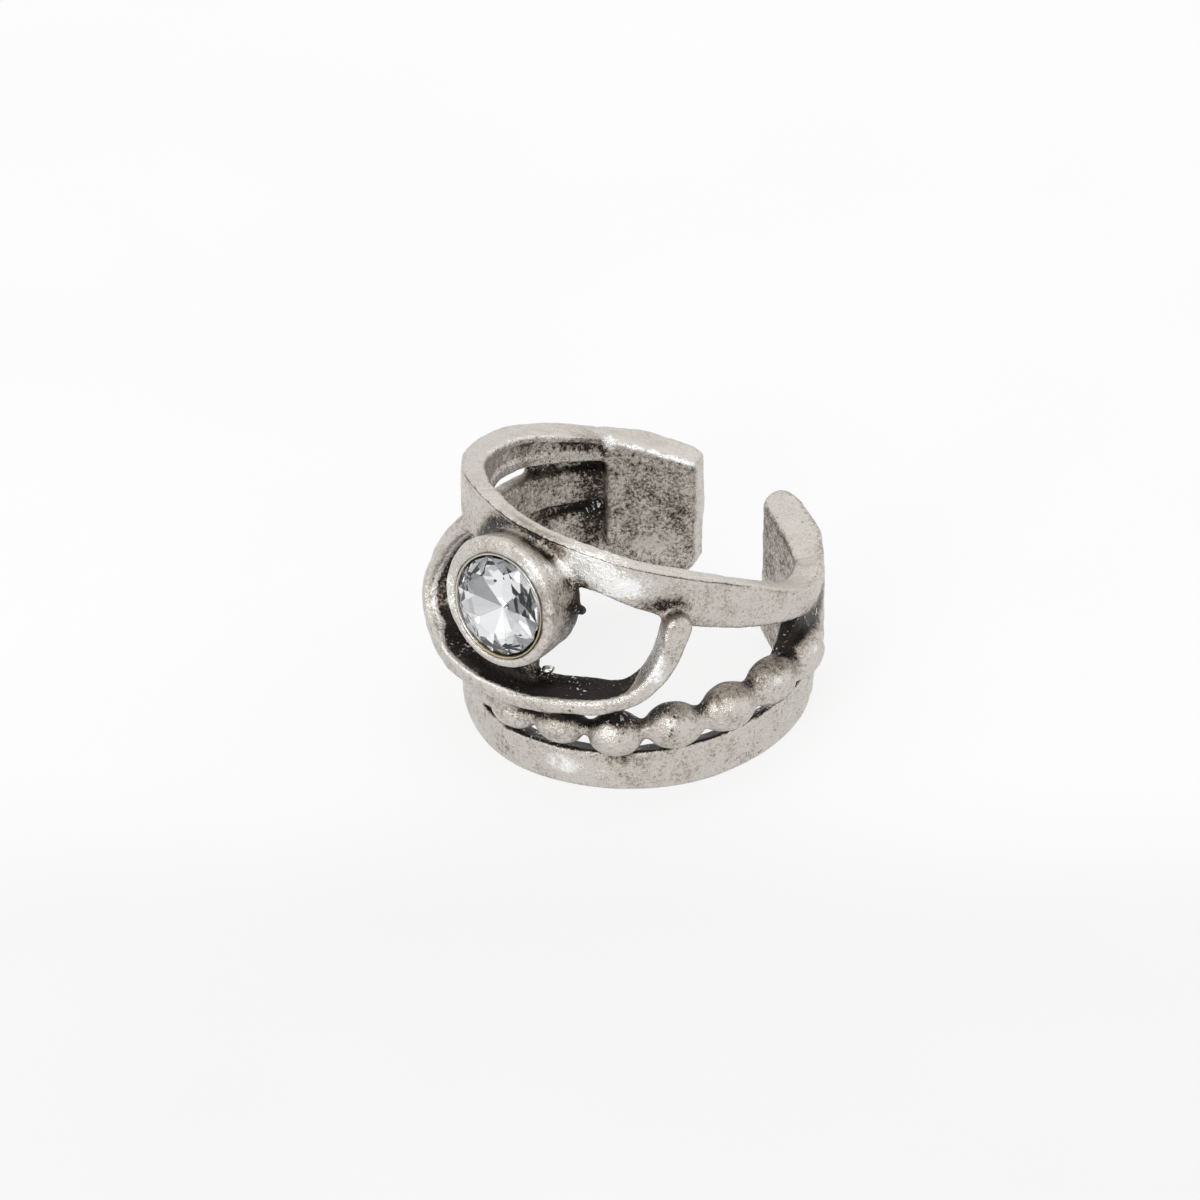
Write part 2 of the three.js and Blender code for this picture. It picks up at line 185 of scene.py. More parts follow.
@dataclass(frozen=True)
class Strand:
    """A wire, band or plate that runs round the finger hole.

    Each row holds an angle, the bottom and top height, and the inner and outer radius.
    """

    rows: Rows
    edge: float = 0.2
    crown: float = 0.05
    tip: float = 0.5
    tip_share: float = 0.49
    fillet: float = 0.45
    foot: float = 0.0
    foot_share: float = 0.55
    lean: float = 0.0
    lean_share: float = 0.45
    lean_from: float = 1.22
    drop: float = 0.0
    margin: float = 12.0
    spare: float = 1.2
    curve_steps: int = 240

    def section(self, deg: np.ndarray) -> tuple[np.ndarray, ...]:
        """Reads the low, high, inner and outer columns at these angles, on a smooth curve.

        Args:
            deg: The angles.

        Returns:
            One array for each column.
        """
        table = np.array(self.rows)
        at = table[:, 0]
        fine = np.linspace(at[0], at[-1], self.curve_steps)
        columns = []
        for column in table[:, 1:5].T:
            slope = np.gradient(column, at)
            columns.append(np.interp(deg, fine, hermite(at, column, slope, fine)))
        return tuple(columns)

    def reach(self, points: Points) -> np.ndarray:
        """Finds the points that are near enough to matter.

        Args:
            points: The points.

        Returns:
            True for each of those.
        """
        table = np.array(self.rows)
        near = points.deg_from(table[0, 0] - self.margin) <= table[-1, 0] + self.margin
        heights = (table[:, 1].min() - self.spare, table[:, 2].max() + self.spare)
        return near & within(points.z, heights) & (points.radius < table[:, 4].max() + self.spare)

    def distance(self, points: Points) -> np.ndarray:
        """Measures how far points are from the strand.

        Args:
            points: The points.

        Returns:
            The distances.
        """
        first = self.rows[0][0]
        last = self.rows[-1][0]
        deg = points.deg_from(first - self.margin)
        low, high, inner, outer = self.section(np.clip(deg, first, last))
        height = np.clip((points.z - low) / (high - low), 0.0, 1.0)
        depth = np.clip((points.radius - inner) / (outer - inner), 0.0, 1.0)
        outer = outer - self.crown * (2.0 * height - 1.0) ** 2
        outer = outer - self.foot * np.clip(1.0 - height / self.foot_share, 0.0, 1.0)
        outer = outer - self.lean * np.clip(height / self.lean_share - self.lean_from, 0.0, 1.0)
        high = high - self.drop * (1.0 - depth)
        upright = np.abs(points.z - (low + high) / 2) - (high - low) / 2
        across = np.abs(points.radius - (inner + outer) / 2) - (outer - inner) / 2
        along = np.maximum(first - deg, deg - last) * ARC * points.radius
        tip = np.minimum(self.tip, self.tip_share * (outer - inner))
        return rounded(rounded(across, along, tip), upright, self.edge)


@dataclass(frozen=True)
class Ribbon:
    """The edge-on strip that loops round the setting, as rows of angle, height, radii and width."""

    rows: Rows
    edge: float = 0.3
    fillet: float = 0.4
    unroll: float = 11.0
    turn: Pair = (208.0, 332.0)
    heights: Pair = (3.6, 14.4)
    radii: Pair = (8.2, 13.4)
    wall_spare: float = 0.25
    curve_steps: int = 6

    def centre_line(self) -> np.ndarray:
        """Draws the middle of the strip.

        Returns:
            Finely spaced rows of place round the hole, height, inner, outer and width.
        """
        table = np.array(self.rows)
        table[:, 0] *= ARC * self.unroll
        at = np.arange(len(table), dtype=float)
        fine = np.linspace(0.0, at[-1], self.curve_steps * len(table))
        return np.stack([hermite(at, c, np.gradient(c), fine) for c in table.T], axis=1)

    def reach(self, points: Points) -> np.ndarray:
        """Returns which points are near enough to matter."""
        near = within(points.deg_from(0.0), self.turn) & within(points.z, self.heights)
        return near & within(points.radius, self.radii)

    def nearest(self, points: Points) -> np.ndarray:
        """Finds the nearest place on the centre line.

        Args:
            points: The points.

        Returns:
            Rows of how far off it is, how far to the side of the setting, and its own inner
            radius, outer radius and width.
        """
        line = self.centre_line().astype(np.float32)
        place = (points.deg_from(0.0) * ARC * self.unroll).astype(np.float32)
        height = points.z.astype(np.float32)
        best = np.full((5, len(place)), np.inf, np.float32)
        for start, end in zip(line[:-1], line[1:]):
            run = end[:2] - start[:2]
            x = place - start[0]
            y = height - start[1]
            share = np.clip((x * run[0] + y * run[1]) / (run @ run), 0.0, 1.0)
            off = np.hypot(x - share * run[0], y - share * run[1])
            nearer = np.flatnonzero(off < best[0])
            share = share[nearer]
            best[0, nearer] = off[nearer]
            best[1, nearer] = ((run[0] * y - run[1] * x) / np.hypot(*run))[nearer]
            for column in range(2, 5):
                best[column, nearer] = start[column] + share * (end[column] - start[column])
        return best

    def distance(self, points: Points) -> np.ndarray:
        """Measures how far points are from the strip.

        Args:
            points: The points.

        Returns:
            The distances.
        """
        off, _, inner, outer, wide = self.nearest(points)
        across = np.abs(points.radius - (inner + outer) / 2) - (outer - inner) / 2
        return rounded(off - wide / 2, across, self.edge)

    def wall(self, points: Points) -> np.ndarray:
        """Measures how far points are down the wall that faces the setting.

        Args:
            points: The points.

        Returns:
            The depths from the wall's outer edge, and -1 off the wall.
        """
        off, side, _, outer, wide = self.nearest(points)
        down = (outer - points.radius) - (wide / 2 - side)
        on_wall = (side > 0.0) & (off < wide / 2 + self.wall_spare)
        return np.where(on_wall, np.maximum(down, -1.0), -1.0)


@dataclass(frozen=True)
class Granule:
    """One bead of melted metal: its angle, radius and height, and its half-sizes."""

    deg: float
    radius: float
    z: float
    along: float
    upright: float
    depth: float = 1.2
    fillet: float = 0.28
    spare: float = 1.2

    def centre(self) -> Triple:
        """Returns the bead's middle about the finger hole."""
        angle = self.deg * ARC
        return self.radius * math.cos(angle), self.radius * math.sin(angle), self.z

    def local(self, points: Points) -> np.ndarray:
        """Turns points into the bead's own directions.

        Args:
            points: The points.

        Returns:
            Rows of how far each is along the bead's depth, length and height.
        """
        x, y, z = self.centre()
        angle = self.deg * ARC
        dx = points.places[:, 0] - x
        dy = points.places[:, 1] - y
        out = dx * math.cos(angle) + dy * math.sin(angle)
        side = dy * math.cos(angle) - dx * math.sin(angle)
        return np.stack([out, side, points.z - z], axis=1)

    def reach(self, points: Points) -> np.ndarray:
        """Returns which points are near enough to matter."""
        far = max(self.along, self.upright, self.depth) + self.spare
        return (np.abs(points.places - self.centre()) < far).all(axis=1)

    def distance(self, points: Points) -> np.ndarray:
        """Measures how far points are from the bead.

        Args:
            points: The points.

        Returns:
            The distances.
        """
        size = np.array([self.depth, self.along, self.upright])
        place = self.local(points)
        near = np.linalg.norm(place / size, axis=1)
        steep = np.linalg.norm(place / size**2, axis=1)
        return near * (near - 1.0) / np.maximum(steep, TINY)


@dataclass(frozen=True)
class TubeSetting:
    """The short tube that holds the stone; depth runs out along its axis from its mouth."""

    side: float = -0.22
    out: float = 12.2
    z: float = 12.5
    tilt_deg: float = 10.5
    length: float = 3.1
    mouth_radius: float = 3.91
    base_radius: float = 3.55
    lip: float = 0.3
    seat_drop: float = 0.24
    seat_radius: float = 3.17
    seat_lip: float = 0.1
    seat_depth: float = 2.7
    cone_radius: float = 1.1
    cone_depth: float = 2.45
    cone_slope: Pair = (0.56, 0.83)
    finger: float = 8.95
    finger_edge: float = 0.15
    fillet: float = 0.55
    half_width: float = 5.6
    front: float = -5.5
    heights: Pair = (7.0, 18.0)

    def axis(self) -> np.ndarray:
        """Returns the way the stone faces."""
        tilt = self.tilt_deg * ARC
        return np.array([0.0, -math.cos(tilt), math.sin(tilt)])

    def down(self) -> np.ndarray:
        """Returns the way down in the plane of the mouth."""
        tilt = self.tilt_deg * ARC
        return np.array([0.0, -math.sin(tilt), -math.cos(tilt)])

    def mouth(self) -> np.ndarray:
        """Returns the middle of the mouth."""
        return np.array([self.side, -self.out, self.z])

    def seat(self) -> np.ndarray:
        """Returns the middle of the seat, in the plane of the mouth."""
        return self.mouth() + self.seat_drop * self.down()

    def placing(self) -> Matrix:
        """Works out how a shape turned about +Z is moved to the seat.

        Returns:
            The move, in metres.
        """
        side = Vector((1.0, 0.0, 0.0))
        out = Vector(self.axis())
        turn = Matrix((side, out.cross(side), out)).transposed().to_4x4()
        return Matrix.Translation(Vector(self.seat()) * MM) @ turn

    def from_axis(self, places: np.ndarray, middle: np.ndarray) -> tuple[np.ndarray, np.ndarray]:
        """Measures places against the tube's axis.

        Args:
            places: The places.
            middle: Where on the axis its depth is 0.

        Returns:
            How far out each is along the axis, and its offset from the axis.
        """
        depth = (places - middle) @ self.axis()
        return depth, places - middle - depth[:, None] * self.axis()

    def reach(self, points: Points) -> np.ndarray:
        """Returns which points are near enough to matter."""
        x, y, z = points.places.T
        return (np.abs(x) < self.half_width) & (y < self.front) & within(z, self.heights)

    def distance(self, points: Points) -> np.ndarray:
        """Measures how far points are from the tube, solid through to the finger hole.

        Args:
            points: The points.

        Returns:
            The distances.
        """
        depth, off = self.from_axis(points.places, self.mouth())
        share = np.clip(-depth / self.length, 0.0, 1.0)
        skin = np.linalg.norm(off, axis=1) - self.mouth_radius
        skin = skin + share * (self.mouth_radius - self.base_radius)
        tube = rounded(rounded(skin, depth, self.lip), -self.length - depth, self.lip)
        return rounded(tube, self.finger - points.radius, self.finger_edge)

    def hollow(self, points: Points) -> np.ndarray:
        """Measures how far points are from the seat's hollow, a wall and then a cone.

        Args:
            points: The points.

        Returns:
            The distances.
        """
        depth, off = self.from_axis(points.places, self.seat())
        around = np.linalg.norm(off, axis=1)
        across, along = self.cone_slope
        cone = (around - self.cone_radius) * across - (depth + self.cone_depth) * along
        return np.maximum(np.maximum(around - self.seat_radius, cone), -self.seat_depth - depth)


# ---- the sizes of the metalwork, in millimetres and degrees round the finger hole ----

UPPER_BAND = Strand(
    edge=0.17,
    crown=0.04,
    rows=(
        (108, 8.6, 9.8, 8.95, 10.5),
        (128, 9.2, 10.75, 8.9, 10.55),
        (141, 9.75, 11.3, 8.88, 10.45),
        (158, 10.35, 12.35, 8.82, 10.4),
        (178, 11.3, 13.55, 8.8, 10.4),
        (196, 12.0, 14.45, 8.75, 10.25),
        (220, 12.3, 15.75, 8.7, 10.1),
        (240, 12.9, 16.5, 8.85, 9.95),
        (264, 13.3, 16.5, 8.95, 9.9),
        (291, 13.5, 16.0, 8.95, 9.9),
        (310, 12.3, 15.2, 8.95, 9.95),
        (330, 10.7, 14.05, 8.95, 9.95),
        (348, 9.7, 12.65, 9.0, 10.15),
        (362, 9.0, 11.25, 9.05, 10.6),
        (375, 8.2, 10.05, 9.1, 10.9),
        (394, 7.6, 9.3, 9.2, 10.8),
    ),
)
BOTTOM_BAND = Strand(
    edge=0.2,
    crown=0.06,
    drop=0.5,
    rows=(
        (120, 2.3, 4.6, 8.95, 10.4),
        (145, 1.8, 4.3, 8.95, 10.4),
        (168, 0.85, 3.5, 8.95, 10.35),
        (190, 0.2, 2.9, 8.95, 10.25),
        (210, 0.0, 2.6, 9.0, 10.2),
        (235, 0.0, 2.5, 9.05, 10.25),
        (266, 0.0, 2.6, 9.15, 10.7),
        (297, 0.0, 2.75, 9.1, 10.5),
        (325, 0.0, 2.95, 9.05, 10.3),
        (350, 0.0, 3.1, 9.05, 10.1),
        (395, 0.0, 2.9, 9.15, 10.3),
    ),
)
MIDDLE_STRAND = Strand(
    edge=0.45,
    crown=0.1,
    rows=(
        (130, 6.7, 8.7, 9.3, 10.4),
        (150, 6.75, 9.1, 9.25, 10.4),
        (168, 7.1, 9.65, 9.15, 10.4),
        (190, 7.4, 10.15, 9.0, 10.4),
        (208, 7.3, 10.2, 9.1, 11.0),
        (219, 6.9, 9.9, 9.6, 11.8),
    ),
)
LOWER_STRAND = Strand(
    edge=0.5,
    crown=0.15,
    rows=(
        (130, 3.4, 6.3, 9.35, 10.4),
        (156, 3.3, 6.25, 9.25, 10.4),
        (180, 2.8, 5.6, 9.05, 10.45),
        (210, 2.4, 5.0, 9.1, 10.6),
        (240, 2.35, 4.7, 9.1, 10.7),
        (266, 3.2, 4.9, 9.5, 10.8),
    ),
)
BEAD_CORE = Strand(
    edge=0.4,
    crown=0.1,
    fillet=0.3,
    rows=(
        (258, 3.3, 4.4, 9.9, 10.9),
        (283, 3.9, 4.85, 10.0, 11.0),
        (302, 3.9, 4.85, 10.0, 11.0),
        (320, 4.1, 5.3, 10.0, 11.1),
        (338, 4.4, 5.9, 9.9, 11.15),
        (357, 4.7, 6.3, 9.8, 11.15),
        (373, 4.5, 6.4, 9.7, 11.1),
        (392, 4.1, 6.0, 9.5, 11.0),
    ),
)
BACK_WEB = Strand(
    edge=0.1,
    crown=0.0,
    rows=(
        (130, 3.6, 10.2, 9.85, 10.35),
        (158, 4.2, 11.1, 9.85, 10.3),
        (169, 4.2, 11.5, 9.85, 10.3),
    ),
)
LOW_WEB = Strand(
    edge=0.1,
    crown=0.0,
    rows=(
        (164, 4.4, 8.6, 9.7, 10.2),
        (190, 4.0, 8.4, 9.7, 10.2),
        (210, 3.8, 8.2, 9.75, 10.3),
        (224, 4.2, 5.8, 9.75, 10.3),
    ),
)
FOOT_WEB = Strand(
    edge=0.2,
    crown=0.0,
    tip=0.9,
    fillet=0.4,
    rows=(
        (229, 4.6, 6.2, 9.5, 10.1),
        (240, 4.6, 9.8, 9.5, 10.1),
        (255, 4.6, 10.0, 9.4, 10.0),
        (274, 5.0, 9.4, 9.5, 10.0),
    ),
)
LEFT_PLATE = Strand(
    edge=0.22,
    crown=0.05,
    tip=0.3,
    foot=0.1,
    rows=(
        (106.2, 2.6, 9.75, 9.0, 10.6),
        (110, 2.0, 9.95, 8.88, 10.65),
        (118, 1.8, 10.3, 8.72, 10.65),
        (127, 1.6, 10.7, 8.7, 10.65),
        (140.5, 1.6, 11.25, 8.78, 10.5),
    ),
)
RIGHT_PLATE = Strand(
    edge=0.25,
    crown=0.0,
    tip=0.9,
    foot=0.7,
    lean=0.12,
    drop=0.45,
    rows=(
        (358, 5.0, 6.6, 9.6, 10.4),
        (368, 4.8, 7.6, 9.4, 10.4),
        (376, 4.4, 9.0, 9.2, 10.4),
        (386, 2.0, 9.8, 9.1, 10.65),
        (394, 0.0, 9.7, 9.1, 10.9),
        (404, 0.0, 9.78, 8.75, 10.92),
        (415, 0.0, 9.85, 8.58, 10.85),
        (426, 0.0, 9.8, 8.72, 10.85),
        (437.5, 0.0, 9.6, 9.2, 10.9),
    ),
)
BEADS = (
    Granule(267.5, 10.45, 4.1, 1.6, 1.15),
    Granule(284.3, 10.45, 4.25, 1.55, 1.2),
    Granule(302.5, 10.5, 4.15, 1.6, 1.4),
    Granule(320.5, 10.5, 4.65, 1.7, 1.45),
    Granule(338.5, 10.5, 5.1, 1.75, 1.45),
    Granule(355.5, 10.5, 5.5, 1.75, 1.5),
    Granule(372, 10.6, 5.7, 1.75, 1.5),
)
LOOP = Ribbon(
    rows=(
        (236, 13.6, 9.3, 9.85, 0.9),
        (230, 12.6, 9.3, 10.25, 0.9),
        (224, 11.3, 9.5, 10.95, 0.9),
        (220, 9.5, 9.7, 11.65, 0.9),
        (218.5, 7.6, 9.9, 12.3, 0.9),
        (221, 6.0, 9.9, 12.4, 0.95),
        (229, 5.2, 9.7, 12.1, 1.0),
        (240, 5.05, 9.4, 12.0, 1.0),
        (252, 5.1, 9.2, 11.8, 1.0),
        (264, 5.35, 9.05, 11.65, 1.0),
        (276, 5.65, 9.0, 11.6, 1.0),
        (288, 6.15, 9.0, 11.6, 0.95),
        (299, 6.52, 9.1, 11.6, 0.95),
        (307.2, 7.15, 9.4, 11.55, 1.0),
        (313.8, 8.3, 9.5, 11.45, 1.1),
        (318.4, 9.85, 9.5, 11.3, 1.35),
        (321.2, 11.5, 9.5, 11.1, 1.65),
    ),
)
# The outer top edge of the upper band and then of the right plate, where a fine line runs.
TOP_EDGE = Strand(
    rows=(
        *UPPER_BAND.rows[6:14],
        (375, 8.2, 10.15, 9.1, 10.85),
        (394, 7.6, 9.7, 9.1, 10.78),
        (404, 7.6, 9.78, 9.1, 10.8),
        (415, 7.6, 9.85, 9.1, 10.73),
        (436, 7.6, 9.6, 9.1, 10.73),
    ),
)
# The rounded ledge along the inner face of the upper band, at its back, and the rim above it.
RAIL = Strand(
    edge=0.2,
    crown=0.0,
    fillet=0.12,
    rows=(
        (138, 9.75, 10.6, 8.8, 9.3),
        (158, 10.5, 11.3, 8.62, 9.3),
        (178, 11.3, 12.1, 8.6, 9.3),
        (196, 12.0, 12.8, 8.58, 9.2),
        (210, 12.2, 13.0, 8.58, 9.1),
    ),
)
RIM = Strand(
    edge=0.15,
    crown=0.0,
    fillet=0.12,
    rows=(
        (136, 10.65, 11.15, 8.8, 9.3),
        (158, 11.85, 12.35, 8.62, 9.3),
        (178, 13.05, 13.55, 8.6, 9.3),
        (196, 13.95, 14.45, 8.6, 9.2),
        (216, 15.1, 15.6, 8.66, 9.2),
    ),
)
# The ragged black solder on the loop's wall under the setting.
LOOP_LINER = Strand(
    edge=0.12,
    crown=0.0,
    tip=0.2,
    fillet=0.25,
    rows=(
        (262, 5.0, 6.2, 9.1, 9.6),
        (274, 5.2, 6.4, 9.1, 9.6),
        (281, 5.4, 6.6, 9.1, 9.6),
        (290, 5.8, 6.85, 9.1, 9.6),
        (301, 6.1, 6.85, 9.2, 9.6),
    ),
)
SOLDER_CHIPS = (
    Granule(275.8, 9.35, 6.75, 0.36, 0.2, 0.3, 0.1),
    Granule(277.3, 9.3, 6.9, 0.2, 0.16, 0.2, 0.1),
    Granule(291.4, 10.25, 12.25, 0.22, 0.2, 0.26, 0.06),
)
SETTING = TubeSetting()


@dataclass(frozen=True)
class Smudge:
    """A soft-edged zone on the metal: where its middle is and how far it spreads each way."""

    deg: float
    radius: float
    z: float
    along: float
    upright: float
    strength: float = 1.0
    depth: float = 1.5
    fall: float = 0.9

    def strength_at(self, points: Points) -> np.ndarray:
        """Reads how strong the zone is.

        Args:
            points: Where it is read.

        Returns:
            From 0 far off to its full strength in the middle.
        """
        bead = Granule(self.deg, self.radius, self.z, self.along, self.upright, self.depth)
        size = np.array([self.depth, self.along, self.upright])
        off = np.linalg.norm(bead.local(points) / size, axis=1)
        return self.strength * np.exp(-(off**2) * self.fall)


class Skin:
    """Draws a closed skin of four-sided faces round the inside of a field sampled on a grid."""

    CORNERS = np.array([(i >> 2 & 1, i >> 1 & 1, i & 1) for i in range(8)])
    RING = ((1, 1), (0, 1), (0, 0), (1, 0))

    def __init__(self, values: np.ndarray, origin: np.ndarray, step: float) -> None:
        """Keeps the grid.

        Args:
            values: The field on the grid, negative inside.
            origin: Where the grid's first corner is.
            step: The spacing of the grid.
        """
        self.values = values
        self.origin = origin
        self.step = step

    def corner_values(self, cells: np.ndarray) -> np.ndarray:
        """Returns the field at the eight corners of each cell."""
        at = cells[:, None, :] + self.CORNERS[None, :, :]
        return self.values[at[..., 0], at[..., 1], at[..., 2]]

    def crossed_cells(self) -> np.ndarray:
        """Finds the cells that the surface passes through.

        Returns:
            Each cell's place on the grid.
        """
        inside = (self.values < 0.0).astype(np.int8)
        total = inside[:-1] + inside[1:]
        total = total[:, :-1] + total[:, 1:]
        total = total[:, :, :-1] + total[:, :, 1:]
        return np.argwhere((total > 0) & (total < len(self.CORNERS)))

    def vertices(self, cells: np.ndarray) -> np.ndarray:
        """Sets one vertex in each cell, at the mean of where the surface cuts its edges.

        Args:
            cells: The crossed cells.

        Returns:
            The vertices.
        """
        corner = self.corner_values(cells)
        total = np.zeros((len(cells), 3))
        count = np.zeros(len(cells))
        for a in range(8):
            for b in range(a + 1, 8):
                if np.abs(self.CORNERS[a] - self.CORNERS[b]).sum() != 1:
                    continue
                cut = (corner[:, a] < 0.0) != (corner[:, b] < 0.0)
                span = np.where(cut, corner[:, a] - corner[:, b], 1.0)
                share = np.where(cut, corner[:, a] / span, 0.0)[:, None]
                place = self.CORNERS[a] + share * (self.CORNERS[b] - self.CORNERS[a])
                total += np.where(cut[:, None], place, 0.0)
                count += cut
        return self.origin + self.step * (cells + total / count[:, None])

    def faces(self, cells: np.ndarray) -> np.ndarray:
        """Joins the cells' vertices into four-sided faces.

        Args:
            cells: The crossed cells.

        Returns:
            The faces, each looking out of the metal.
        """
        number = np.full(np.array(self.values.shape) - 1, -1, np.int32)
        number[tuple(cells.T)] = np.arange(len(cells))
        inside = self.values < 0.0
        quads = []
        for axis in range(3):
            first, second = [i for i in range(3) if i != axis]
            near = np.take(inside, range(inside.shape[axis] - 1), axis)
            far = np.take(inside, range(1, inside.shape[axis]), axis)
            edges = np.argwhere(near != far)
            edges = edges[(edges[:, first] > 0) & (edges[:, second] > 0)]
            leaving = near[tuple(edges.T)]
            ring = []
            for back_first, back_second in self.RING:
                cell = edges.copy()
                cell[:, first] -= back_first
                cell[:, second] -= back_second
                ring.append(number[tuple(cell.T)])
            quad = np.stack(ring, axis=1)
            forward = leaving if axis != 1 else ~leaving
            quads.append(np.where(forward[:, None], quad, quad[:, ::-1]))
        return np.concatenate(quads)


# ---- pieces, and the marks on them that a finish reads ----


class Spread(Enum):
    """What the values of a mark belong to."""

    CORNERS = "POINT"
    FACES = "FACE"


def form(name: str, corners: list, faces: list, smooth: bool = False) -> bpy.types.Mesh:
    """Makes a mesh.

    Args:
        name: Its name.
        corners: Its corners, in metres.
        faces: The numbers of each face's corners.
        smooth: Whether its faces are shaded as one smooth skin.

    Returns:
        The mesh.
    """
    mesh = bpy.data.meshes.new(name)
    mesh.from_pydata(corners, [], faces)
    if smooth:
        mesh.polygons.foreach_set("use_smooth", [True] * len(mesh.polygons))
    return mesh


def write_marks(mesh: bpy.types.Mesh, marks: dict[str, np.ndarray], spread: Spread) -> None:
    """Writes marks on a mesh.

    Args:
        mesh: The mesh.
        marks: The values of each mark, by its name.
        spread: Whether each value belongs to a corner or a face.
    """
    for name, values in marks.items():
        layer = mesh.attributes.new(name, "FLOAT", spread.value)
        layer.data.foreach_set("value", values.astype(np.float32))


def stand(data: bpy.types.ID) -> bpy.types.Object:
    """Stands a mesh, lamp or camera in the scene under its own name.

    Args:
        data: The mesh, lamp or camera.

    Returns:
        The piece.
    """
    piece = bpy.data.objects.new(data.name, data)
    bpy.context.scene.collection.objects.link(piece)
    return piece


@dataclass(frozen=True)
class Metalwork:
    """All the soldered metal of the ring as one casting."""

    parts: tuple = (
        UPPER_BAND,
        RAIL,
        RIM,
        LEFT_PLATE,
        RIGHT_PLATE,
        BOTTOM_BAND,
        MIDDLE_STRAND,
        LOWER_STRAND,
        BACK_WEB,
        BEAD_CORE,
        *BEADS,
        LOOP,
        LOW_WEB,
        FOOT_WEB,
        LOOP_LINER,
        *SOLDER_CHIPS,
    )
    setting: TubeSetting = SETTING
    base_edge: float = 0.12
    step: float = 0.155
    far: float = 3.0
    low_corner: Triple = (-11.4, -13.9, -0.4)
    high_corner: Triple = (12.2, 11.4, 17.3)
    radii: Pair = (8.3, 14.4)
    settlings: int = 2
    least_slope: float = 0.2
    longest_move: float = 0.5
    wobble: float = 0.035
    wobble_size: float = 2.6
    tremble: float = 0.012
    tremble_size: float = 0.9
    swells: int = 14
    swell_spread: Pair = (0.7, 0.6)
    resting: float = 0.6
    seed: int = 7

    def distance(self, places: np.ndarray) -> np.ndarray:
        """Measures how far places are from the metal.

        Args:
            places: The places, about the finger hole.

        Returns:
            The distances.
        """
        points = Points(places)
        total = np.full(len(places), self.far)
        for part in (*self.parts, self.setting):
            near = np.flatnonzero(part.reach(points))
            total[near] = solder(total[near], part.distance(points.pick(near)), part.fillet)
        near = np.flatnonzero(self.setting.reach(points))
        hollow = self.setting.hollow(points.pick(near))
        total[near] = rounded(total[near], -hollow, self.setting.seat_lip)
        return rounded(total, -points.z, self.base_edge)

    def sampled(self) -> Skin:
        """Samples the metal on a grid, only near the ring.

        Returns:
            The grid, ready to be skinned.
        """
        low = np.array(self.low_corner)
        axes = [np.arange(a, b, self.step) for a, b in zip(low, self.high_corner)]
        grid = np.stack(np.meshgrid(*axes, indexing="ij"), axis=-1)
        places = grid.reshape(-1, 3)
        near = np.flatnonzero(within(np.hypot(places[:, 0], places[:, 1]), self.radii))
        values = np.full(len(places), self.far)
        values[near] = self.distance(places[near])
        return Skin(values.reshape(grid.shape[:3]), low, self.step)

    def slope(self, places: np.ndarray, reach: float = 0.02) -> np.ndarray:
        """Measures how the distance to the metal changes.

        Args:
            places: Where it is measured.
            reach: How far to each side it is read.

        Returns:
            The slope along x, y and z at each place.
        """
        slopes = []
        for axis in np.eye(3) * reach:
            rise = self.distance(places + axis) - self.distance(places - axis)
            slopes.append(rise / (2.0 * reach))
        return np.stack(slopes, axis=1)

    def settle(self, places: np.ndarray) -> np.ndarray:
        """Moves vertices exactly onto the skin.

        Args:
            places: The vertices.

        Returns:
            The moved vertices.
        """
        slope = self.slope(places)
        steep = np.maximum((slope**2).sum(axis=1), self.least_slope)
        move = -(self.distance(places) / steep)[:, None] * slope
        size = np.maximum(np.linalg.norm(move, axis=1, keepdims=True), TINY)
        return places + move * np.minimum(1.0, self.longest_move * self.step / size)

    def waver(self, places: np.ndarray, size: float) -> np.ndarray:
        """Draws a smooth seeded unevenness between about -1 and 1.

        Args:
            places: Where it is read.
            size: How wide its swells are.

        Returns:
            One value for each place.
        """
        random = np.random.default_rng(self.seed)
        least, more = self.swell_spread
        total = np.zeros(len(places))
        for _ in range(self.swells):
            way = random.normal(size=3)
            way *= (least + more * random.random()) * TURN / size / np.linalg.norm(way)
            total += np.sin(places @ way + random.random() * TURN)
        return total / math.sqrt(self.swells)

    def build(self, hole: Vector) -> bpy.types.Object:
        """Skins the metal.

        Args:
            hole: Where the middle of the finger hole stands, in metres.

        Returns:
            The casting.
        """
        skin = self.sampled()
        cells = skin.crossed_cells()
        places = skin.vertices(cells)
        for _ in range(self.settlings):
            places = self.settle(places)
        slope = self.slope(places)
        out = slope / np.maximum(np.linalg.norm(slope, axis=1, keepdims=True), TINY)
        uneven = self.wobble * self.waver(places, self.wobble_size)
        uneven = uneven + self.tremble * self.waver(places, self.tremble_size)
        lifted = np.clip(places[:, 2] / self.resting, 0.0, 1.0)
        places = places + out * (uneven * lifted)[:, None]
        corners = (places * MM + np.array(hole)).tolist()
        mesh = form("soldered_strands", corners, skin.faces(cells).tolist(), smooth=True)
        write_marks(mesh, WearAndPaintedLight(self, places, out).marks(), Spread.CORNERS)
        return stand(mesh)

    def dress(self, casting: bpy.types.Object) -> None:
        """Plates the casting and darkens it."""
        casting.data.materials.append(AntiquedSilver().material())


